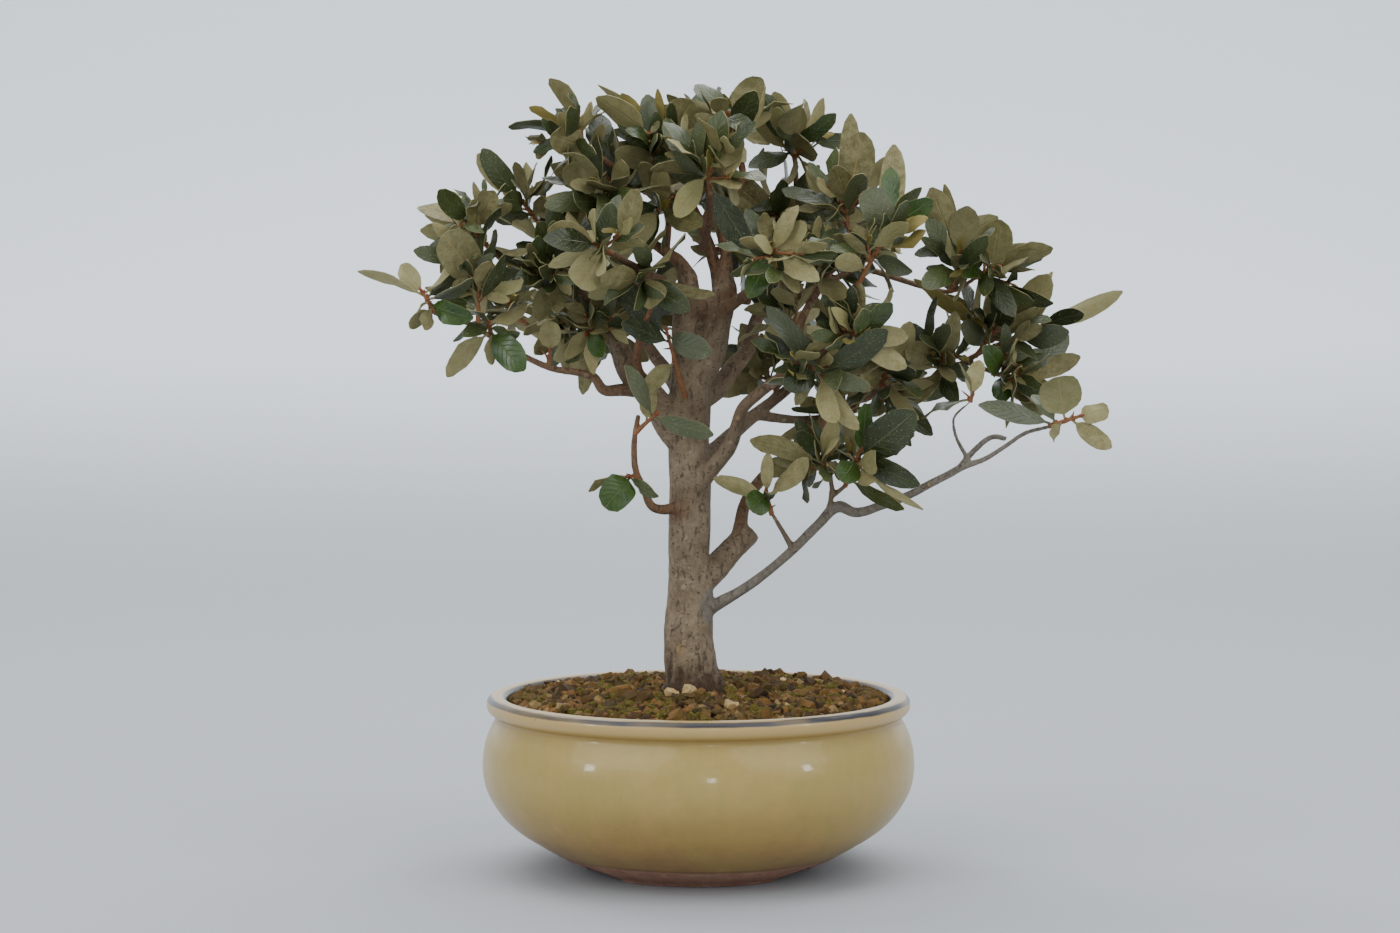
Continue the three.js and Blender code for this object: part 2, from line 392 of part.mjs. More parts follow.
// Soil: fills the pot inside, its top raised in granules by a formula
const SOIL_RADIUS = 114.6;
const SOIL_RINGS = [106, 94, 81, 68, 55, 42, 29, 15];
const SOIL_WALL_POINTS = 5; // last points of the pot's wall that the soil lies against
function soilSolid(wood) {
  const inner = POT_WALL.slice(-SOIL_WALL_POINTS).reverse().map(([r, z]) => [r - 0.5, z + 0.4]);
  const dome = (r) => [r, SOIL_MIDDLE_Z + (SOIL_EDGE_Z - SOIL_MIDDLE_Z) * (r / SOIL_RADIUS) ** 2];
  const profile = [[0, FLOOR_Z + 0.4], ...inner, dome(SOIL_RADIUS), ...SOIL_RINGS.map(dome), dome(0)];
  const turned = new THREE.LatheGeometry(profile.map(([r, z]) => new THREE.Vector2(r, z)), POT_SIDES);
  const place = turned.rotateX(Math.PI / 2).attributes.position;
  for (let v = 0; v < place.count; v += 1) {
    const [x, y, z] = [place.getX(v), place.getY(v), place.getZ(v)];
    const radius = Math.hypot(x, y);
    if (z < SOIL_EDGE_Z || radius > 112 || radius < 1) continue;
    const granule = Math.sin(x * 1.7 + 3 * Math.sin(y * 0.9)) * Math.cos(y * 1.9 + 2 * Math.sin(x * 0.7));
    place.setZ(v, z + 1.3 * granule);
  }
  let soil = solidOfGeometry(turned).subtract(wood);
  for (const side of [-1, 1]) {
    const pocket = upright(SCREEN_RADIUS + 0.4, 4, 14);
    const top = FLOOR_Z + 2 * CLEARANCE + SCREEN_THICKNESS;
    soil = soil.subtract(solidOfGeometry(pocket.translate(side * DRAIN_HOLE_OFFSET, 0, top - 2)));
  }
  return largestPiece(soil);
}

// How a leaf is shaped beside its root, tip, width and upper side: how much it arches, folds and waves
function leafForm(seed) {
  return {
    arch: 0.02 + 0.09 * draw(seed, 0, 20),
    fold: 0.04 + 0.16 * draw(seed, 0, 21),
    wave: 0.5 + 1.1 * draw(seed, 0, 22),
    phase: 6.283 * draw(seed, 0, 23),
  };
}

// How far an edge of the blade stands over its middle line, s from -1 to 1
function edgeLift(leaf, t, s, halfWidth) {
  const { fold, wave, phase } = leaf.form;
  return fold * Math.abs(s) * halfWidth + wave * s * s * Math.sin(9.4 * t + phase + (s < 0 ? 2 : 0));
}

// A point at a place t along the blade, s across it and so far over its middle line
function leafPoint(leaf, t, s, halfWidth, lift) {
  const length = leaf.root.distanceTo(leaf.tip);
  const aside = new THREE.Vector3().crossVectors(leaf.normal, leaf.along);
  return leaf.root.clone().lerp(leaf.tip, t)
    .addScaledVector(leaf.normal, leaf.form.arch * length * 4 * t * (1 - t) + lift)
    .addScaledVector(aside, s * halfWidth);
}

// A blade: rings of left edge, right edge and keel between its root and its tip. The skin is an extra all
// round, and rings nearer the root than start are left out.
function bladeSolid(leaf, skin = 0, start = 0) {
  const rings = leaf.rings.filter(([t]) => t > start + 0.02);
  const points = [start > 0 ? leafPoint(leaf, start, 0, 0, 0) : leaf.root.clone()];
  for (const [t, share] of rings) {
    const half = (share * leaf.width) / 2;
    const lifts = [-1, 1].map((s) => edgeLift(leaf, t, s, half));
    points.push(leafPoint(leaf, t, -1, half + skin, lifts[0] + skin));
    points.push(leafPoint(leaf, t, 1, half + skin, lifts[1] + skin));
    points.push(leafPoint(leaf, t, 0, half, Math.min(...lifts, 0) - KEEL - skin));
  }
  points.push(leaf.tip.clone().addScaledVector(leaf.along, skin));
  const faces = [];
  const last = points.length - 1;
  for (const [a, b] of [[0, 1], [1, 2], [2, 0]]) {
    faces.push([0, 1 + b, 1 + a], [last, last - 3 + a, last - 3 + b]);
    for (let near = 1; near < last - 3; near += 3) {
      faces.push([near + a, near + b, near + 3 + b], [near + a, near + 3 + b, near + 3 + a]);
    }
  }
  return solidOf(new Float32Array(points.flatMap((p) => p.toArray())), new Uint32Array(faces.flat()));
}

function makeLeaf(stem, tip, normal, width, seed, rings) {
  const along = tip.clone().sub(stem).normalize();
  const root = stem.clone().addScaledVector(along, ROOT_OFFSET);
  const level = normal.clone().addScaledVector(along, -normal.dot(along)).normalize();
  return { root, tip, along, normal: level, width, rings, form: leafForm(seed) };
}

// A picked leaf: its tip where the photograph shows it, its upper side turned round its length by facing
function pickedLeaf(shoot, row, seed, attempt) {
  const [t, x, z, depth, width, facing] = row;
  const loose = 0.6 * attempt;
  const tip = seen([x + loose * spread(seed, attempt, 0), z + loose * spread(seed, attempt, 1),
    depth + 12 * loose * spread(seed, attempt, 2)]);
  const root = shoot.foot.clone().lerp(shoot.tip, t * LAST_ROOT);
  const along = tip.clone().sub(root).normalize();
  const front = TO_EYE.clone().addScaledVector(along, -TO_EYE.dot(along)).normalize();
  const turn = THREE.MathUtils.degToRad(facing + 14 * loose * spread(seed, attempt, 3));
  const rings = width < NARROW_WIDTH ? RULE_BLADE : PICKED_BLADE;
  return makeLeaf(root, tip, front.applyAxisAngle(along, turn), width, seed, rings);
}

// A leaf by rule: round the shoot by the golden angle, leaning out less and less, its upper side to the tip
function ruleLeaf(shoot, place, seed, attempt) {
  const t = (0.25 + 0.75 * place) * LAST_ROOT;
  const loose = 0.35 + 0.16 * attempt;
  const azimuth = shoot.turn + GOLDEN_ANGLE * shoot.fill * place + 2 * loose * spread(seed, attempt, 0);
  const lean = 1.25 - 0.65 * place + loose * spread(seed, attempt, 1);
  const length = shoot.long * (0.84 + 0.32 * draw(seed, 0, 2)) * (1 - 0.012 * attempt);
  const width = length * (0.36 + 0.12 * draw(seed, 0, 3));
  const root = shoot.foot.clone().lerp(shoot.tip, t);
  const out = shoot.side.clone().applyAxisAngle(shoot.along, azimuth);
  const along = shoot.along.clone().multiplyScalar(Math.cos(lean)).addScaledVector(out, Math.sin(lean));
  along.addScaledVector(UP, 0.12).normalize();
  const normal = shoot.along.clone().applyAxisAngle(along, 1.1 * spread(seed, attempt, 4));
  return makeLeaf(root, root.clone().addScaledVector(along, length), normal, width, seed, RULE_BLADE);
}

function boxesMeet(a, b) {
  return [0, 1, 2].every((i) => a.min[i] <= b.max[i] && b.min[i] <= a.max[i]);
}

// Solids that new leaves keep clear of, with their boxes
const standing = [];
function stand(solid, shoot, outer = null) {
  standing.push({ solid, shoot, outer, box: solid.boundingBox() });
}

function meets(a, b) {
  return !a.intersect(b).isEmpty();
}

// Whether a leaf is clear of the wood, of the other shoots and, past its root, of its own shoot's leaves
function isClear(leaf, shoot) {
  const skin = bladeSolid(leaf, CLEARANCE + 0.05);
  const outer = bladeSolid(leaf, 0.1, CROWDED_ROOT);
  const box = skin.boundingBox();
  if (box.min[2] < SOIL_MIDDLE_Z + 4 && Math.hypot(leaf.tip.x, leaf.tip.y) < POT_REACH) return false;
  return standing.filter((other) => boxesMeet(box, other.box)).every((other) => {
    if (other.shoot === shoot.name) return !other.outer || !meets(outer, other.outer);
    if (other.shoot === "wood") return !meets(outer, other.solid);
    return !meets(skin, other.solid);
  });
}

function growShoot([name, foot, tip, fill, long, picked], index) {
  const shoot = { name, foot: seen(foot), tip: seen(tip), fill, long, picked, leaves: [] };
  shoot.along = shoot.tip.clone().sub(shoot.foot).normalize();
  shoot.side = new THREE.Vector3().crossVectors(shoot.along, TO_EYE).normalize();
  shoot.turn = 6.283 * draw(index, 0, 9);
  shoot.seed = 100 * (index + 1);
  shoot.twig = branchSolid([shoot.foot, shoot.tip], TWIG_RADII, 3);
  stand(shoot.twig, name);
  return shoot;
}

// The first of a leaf's tries that is clear joins the shoot; with none, the leaf is left out
function addLeaf(shoot, tries, make) {
  for (let attempt = 0; attempt < tries; attempt += 1) {
    const leaf = make(attempt);
    if (!isClear(leaf, shoot)) continue;
    const solid = bladeSolid(leaf);
    shoot.leaves.push(solid);
    stand(solid, shoot.name, bladeSolid(leaf, 0, CROWDED_ROOT));
    return;
  }
}

const wood = woodSolid(0);
const woodWithClearance = woodSolid(CLEARANCE);
stand(wood, "wood");
const shoots = SHOOTS.map(growShoot);
for (const shoot of shoots) {
  shoot.picked.forEach((row, i) => {
    addLeaf(shoot, PICKED_TRIES, (attempt) => pickedLeaf(shoot, row, shoot.seed + i, attempt));
  });
}
for (let i = 0; i < Math.max(...shoots.map(({ fill }) => fill)); i += 1) {
  for (const shoot of shoots.filter(({ fill }) => i < fill)) {
    const place = (i + 1) / shoot.fill;
    addLeaf(shoot, RULE_TRIES, (attempt) => ruleLeaf(shoot, place, shoot.seed + 50 + i, attempt));
  }
}

const FINISHES = {
  pot: { color: 0xb9aa7c, roughness: 0.22, metalness: 0 },
  soil: { color: 0x5d4128, roughness: 0.95, metalness: 0 },
  wood: { color: 0x6b5a4c, roughness: 0.85, metalness: 0 },
  screen: { color: 0x23282b, roughness: 0.6, metalness: 0 },
  leaf: { color: 0x75744f, roughness: 0.55, metalness: 0 },
};

const plant = new THREE.Group();
function addPiece(name, solid, finish) {
  const material = new THREE.MeshStandardMaterial({ ...FINISHES[finish], flatShading: true });
  const mesh = new THREE.Mesh(geometryOf(solid), material);
  mesh.name = name;
  plant.add(mesh);
}

addPiece("pot", potSolid(), "pot");
addPiece("soil", soilSolid(woodWithClearance), "soil");
addPiece("drain_screen_left", screenSolid(-1), "screen");
addPiece("drain_screen_right", screenSolid(1), "screen");
addPiece("wood", wood, "wood");
for (const shoot of shoots) {
  const grown = union([shoot.twig, ...shoot.leaves]).subtract(woodWithClearance);
  addPiece(`shoot_${shoot.name}`, largestPiece(grown), "leaf");
}

// The origin is under the middle of the whole, at the height of the foot
const bounds = new THREE.Box3().setFromObject(plant);
const middle = bounds.getCenter(new THREE.Vector3());
plant.position.set(-middle.x, -middle.y, -bounds.min.z);
const bonsai = new THREE.Group();
bonsai.add(plant);

export default bonsai;
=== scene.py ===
"""Thorny olive bonsai in a round glazed pot: the finished looks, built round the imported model."""

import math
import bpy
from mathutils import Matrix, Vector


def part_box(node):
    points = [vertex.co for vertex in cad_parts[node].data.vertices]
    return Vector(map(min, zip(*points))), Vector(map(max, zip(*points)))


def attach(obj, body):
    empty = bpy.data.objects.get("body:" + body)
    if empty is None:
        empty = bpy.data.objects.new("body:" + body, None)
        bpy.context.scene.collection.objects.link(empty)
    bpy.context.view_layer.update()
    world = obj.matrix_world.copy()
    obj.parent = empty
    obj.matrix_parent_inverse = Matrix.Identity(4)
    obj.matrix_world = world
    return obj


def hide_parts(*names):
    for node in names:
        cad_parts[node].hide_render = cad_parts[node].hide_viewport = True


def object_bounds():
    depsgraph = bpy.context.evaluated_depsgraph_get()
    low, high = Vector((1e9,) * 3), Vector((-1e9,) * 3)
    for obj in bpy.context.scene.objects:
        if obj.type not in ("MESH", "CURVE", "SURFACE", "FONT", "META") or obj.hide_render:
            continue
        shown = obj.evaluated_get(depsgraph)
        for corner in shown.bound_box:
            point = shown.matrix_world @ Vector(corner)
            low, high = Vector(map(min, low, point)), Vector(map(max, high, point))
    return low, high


bl_info = {
    "name": "Thorny olive bonsai",
    "version": (1, 0, 0),
    "blender": (4, 5, 0),
    "location": "View3D > Sidebar > Bonsai",
    "description": "Builds the wood, leaves, soil and glazed pot of a thorny olive bonsai",
    "category": "Add Mesh",
}

import bmesh
import bpy
import numpy as np
from bpy.props import FloatProperty, FloatVectorProperty, IntProperty, PointerProperty
from mathutils import Quaternion, Vector, kdtree
from mathutils.bvhtree import BVHTree

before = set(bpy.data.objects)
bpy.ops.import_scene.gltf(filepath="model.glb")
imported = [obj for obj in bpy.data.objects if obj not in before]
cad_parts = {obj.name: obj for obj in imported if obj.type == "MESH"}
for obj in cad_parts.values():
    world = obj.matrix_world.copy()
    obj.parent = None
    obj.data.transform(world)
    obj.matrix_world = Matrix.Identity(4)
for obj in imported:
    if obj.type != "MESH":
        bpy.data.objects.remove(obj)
CAD_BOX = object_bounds()

# Lengths below are in millimetres from the pot's axis and the foot it stands on, front towards -Y.
MM = 0.001
POT_LOW, POT_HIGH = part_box("pot")
POT_AXIS = Vector(((POT_LOW[0] + POT_HIGH[0]) / 2, (POT_LOW[1] + POT_HIGH[1]) / 2, POT_LOW[2]))

# Where the eye stands, and what it looks at
VIEW_DISTANCE = 1787
VIEW_HEIGHT = 335
VIEW_ASIDE = 0.9
AIM_HEIGHT = 242
LENS = 50
SENSOR_WIDTH = 23.5

# Wood: each limb is a way of (x, z, depth behind the pot's axis, radius), x and z as seen from the front
LIMBS = [
    ("trunk", [(-2, 58, -4, 15), (-2, 80, -4, 19), (-2, 101, -5, 20.5), (-2.5, 108, -5, 18.6),
        (-4.5, 120, -4, 16.4), (-6, 138, -3, 15.6), (-5, 162, -1, 14.4), (-5.5, 186, 0, 12.7),
        (-5.5, 210, 0, 13.1), (-5, 234, 0, 13), (-6, 258, 0, 13), (-5, 282, 1, 13.2), (-4, 300, 2, 13),
        (-4, 311, 3, 9.5)]),
    ("root_right", [(2, 112, -6, 9), (14, 104, -9, 6.5), (26, 97, -13, 4.5), (36, 88, -16, 3)]),
    ("root_left", [(-8, 112, -4, 9), (-20, 103, -6, 6.5), (-30, 94, -8, 4), (-38, 86, -10, 3)]),
    ("root_front", [(-3, 112, -10, 9), (-5, 104, -24, 6.5), (-7, 95, -36, 4), (-8, 86, -44, 3)]),
    ("root_back", [(-2, 112, 4, 9), (2, 104, 16, 6.5), (4, 94, 30, 4.5), (5, 86, 40, 3)]),
    ("left_stem", [(-4, 292, 2, 10), (-8.5, 318, 0, 8), (-7, 340, -1, 8.4), (-6.5, 354, -2, 6.6),
        (-11, 364, -4, 4.6), (-22, 372, -8, 3.4), (-36, 384, -12, 3), (-43, 400, -14, 2.8),
        (-48, 418, -16, 2.6), (-60, 428, -18, 2.3)]),
    ("right_stem", [(-3, 292, 2, 10.5), (8, 314, 2, 9.4), (11.5, 334, 2, 9.2), (15.5, 346, 2, 8),
        (15.5, 358, 3, 5.6), (16.5, 370, 5, 4), (14, 382, 8, 3.4), (18, 398, 10, 3), (26, 414, 10, 2.7),
        (23, 436, 8, 2.3)]),
    ("bridge", [(-8, 337, -2, 5.5), (2, 337.5, -2, 5), (12, 337, -1, 5.5)]),
    ("leader", [(16, 348, 3, 6), (11, 358, 6, 4.2), (6, 374, 10, 3.6), (3, 384, 12, 3.2), (6.5, 398, 16, 2.8),
        (6, 412, 20, 2.4)]),
    ("top_left_stem", [(-20, 371, -8, 3.2), (-18, 386, -2, 2.6), (-19, 404, 2, 2.3), (-21, 420, 4, 2)]),
    ("stump_right", [(14, 341, 1, 5), (22, 342.5, -4, 3.8), (31, 341, -9, 3)]),
    ("left_limb", [(-4, 252, 0, 10), (-17, 266, -2, 9.6), (-26, 282, -5, 8.6), (-41, 298, -8, 7.6),
        (-48, 314, -10, 6.8), (-58, 330, -10, 6.2), (-70, 343, -8, 5), (-77, 354, -5, 4.2),
        (-87, 366, 0, 3.4), (-95, 379, 6, 2.8), (-92, 394, 12, 2.4)]),
    ("left_upper", [(-62, 333, -10, 4.2), (-76, 338, -16, 3.4), (-92, 348, -20, 3), (-108, 359, -22, 2.5),
        (-126, 373, -24, 1.9)]),
    ("left_lower", [(-34, 288, -8, 6), (-47, 288, -14, 5), (-57, 288, -18, 4.3), (-63, 296, -22, 3.7),
        (-70, 298, -26, 3.2), (-88, 301, -34, 2.9), (-104, 308, -40, 2.6), (-126, 321, -46, 2.4),
        (-138, 328, -50, 2.1), (-147, 329, -52, 2), (-160, 335, -54, 1.7)]),
    ("left_riser", [(-30, 286, -8, 4.4), (-37, 304, -20, 3.4), (-34, 322, -34, 2.8), (-28, 338, -46, 2)]),
    ("trunk_riser", [(-9, 220, -2, 6), (-21, 216, -14, 4.6), (-28, 218, -20, 4), (-33, 229, -24, 3.5),
        (-37.5, 239, -26, 3.2), (-38.7, 251, -28, 3), (-38, 262, -30, 2.7), (-36, 273, -32, 2.4)]),
    ("low_right", [(-2, 152, -2, 8), (11, 159, -4, 4.4), (26, 167.5, -6, 3.6), (48, 184, -9, 3.3),
        (58, 193, -11, 3.5), (72, 207, -14, 3.5), (85, 218, -18, 4.2), (93, 214.5, -20, 3.6),
        (110, 218.5, -24, 3.2), (128, 225.5, -28, 3), (140, 232, -30, 2.9), (150, 237, -32, 2.8),
        (159, 242, -34, 2.7), (171, 246, -36, 2), (184, 254, -38, 1.8), (196, 262, -40, 1.7),
        (211, 266, -42, 1.5)]),
    ("low_right_fork", [(156, 240, -33, 2.6), (165, 251, -30, 2.2), (178, 260, -28, 2.1),
        (185, 258.5, -28, 2)]),
    ("low_right_twig", [(162, 246, -32, 2), (154, 262, -36, 1.6), (153, 270, -38, 1.4),
        (163, 281, -42, 1.1)]),
    ("low_riser_one", [(57, 192, -11, 2.6), (50, 204, -18, 1.9), (44, 214, -24, 1.5)]),
    ("low_riser_two", [(72, 206, -14, 2.8), (78, 216, -18, 2.2), (80, 226, -22, 2), (79, 240, -26, 1.6)]),
    ("low_riser_fork", [(79, 223, -21, 2), (89, 231, -27, 1.7)]),
    ("thick_right", [(-3, 170, 0, 10), (7, 178, 6, 9), (22, 194, 14, 7.8), (29, 200, 17, 7.4),
        (32, 203, 18.5, 6.6)]),
    ("thick_right_regrowth", [(24, 195, 13, 6.5), (25.5, 208, 16, 4.8), (27, 217, 20, 4.2),
        (41, 238, 26, 4.2), (51, 247, 30, 4), (60, 253, 34, 3.8), (68, 263, 38, 3.6), (77, 270, 42, 3.5),
        (110, 288, 50, 3.2), (125, 291, 52, 3), (144, 296, 54, 2.7), (163, 307, 56, 2.3), (172, 312, 57, 2)]),
    ("thick_right_tip", [(160, 305, 56, 2.2), (178, 298, 50, 1.9)]),
    ("middle_right", [(-10, 221, -2, 8), (1, 232, -8, 6), (9.5, 242.5, -12, 5.6), (18, 253, -16, 5.3),
        (23, 266, -20, 4.6), (26, 276, -22, 4.2), (35, 285, -26, 4.1), (44, 292, -28, 4), (55, 300, -30, 3.8),
        (60, 310, -30, 3.4), (61, 327, -28, 3), (74, 351, -24, 2.7), (81, 363, -22, 2.5),
        (89, 376, -20, 2.1)]),
    ("middle_shoot", [(54, 299, -30, 3.4), (64, 305, -40, 3), (75, 311, -48, 2.7), (86, 325, -50, 2.6),
        (93, 339, -48, 2.4), (95, 352, -44, 2)]),
    ("dark_limb", [(-4, 280, 4, 8), (10, 287, 10, 6.4), (19.5, 300, 16, 6), (28.5, 311, 22, 5.4),
        (33, 325, 28, 4.8), (38, 338, 36, 4.2), (47, 352, 44, 3.8), (52, 368, 52, 3.3), (54, 386, 58, 2.9),
        (58, 404, 55, 2.4), (58, 424, 45, 2)]),
    ("dark_limb_right", [(36, 333, 33, 3.6), (56, 342, 44, 3), (76, 352, 52, 2.7), (98, 360, 56, 2.5),
        (118, 355, 49, 2.4), (134, 350, 40, 2.2), (151, 347, 30, 2), (166, 355, 22, 1.6)]),
    ("back_left", [(-4, 270, 4, 7.5), (-12, 288, 22, 5.6), (-26, 308, 46, 4.6), (-40, 326, 70, 3.8),
        (-53, 346, 97, 2.6)]),
    ("back_left_low", [(-30, 312, 52, 4), (-54, 314, 64, 3.2), (-78, 318, 76, 2.7), (-104, 328, 85, 2)]),
    ("back_right", [(-4, 240, 4, 7.5), (12, 254, 24, 5.6), (30, 270, 46, 4.8), (48, 284, 68, 4),
        (72, 304, 98, 2.6)]),
    ("back_right_low", [(34, 273, 50, 3.8), (62, 270, 62, 3.2), (88, 274, 76, 2.5), (102, 278, 83, 2)]),
    ("back_top", [(12, 330, 4, 6), (12, 350, 26, 4.8), (8, 370, 48, 4), (0, 393, 73, 2.6)]),
    ("front_right", [(12, 334, -2, 5.5), (24, 342, -18, 4), (34, 350, -38, 3.2), (42, 364, -67, 2.2)]),
    ("front_left", [(-6, 338, -2, 6), (-18, 350, -18, 4.2), (-32, 358, -38, 3.4), (-51, 369, -66, 2.3)]),
    ("front_top", [(2, 372, 10, 3.4), (6, 386, -8, 3), (7, 406, -36, 2.1)]),
]

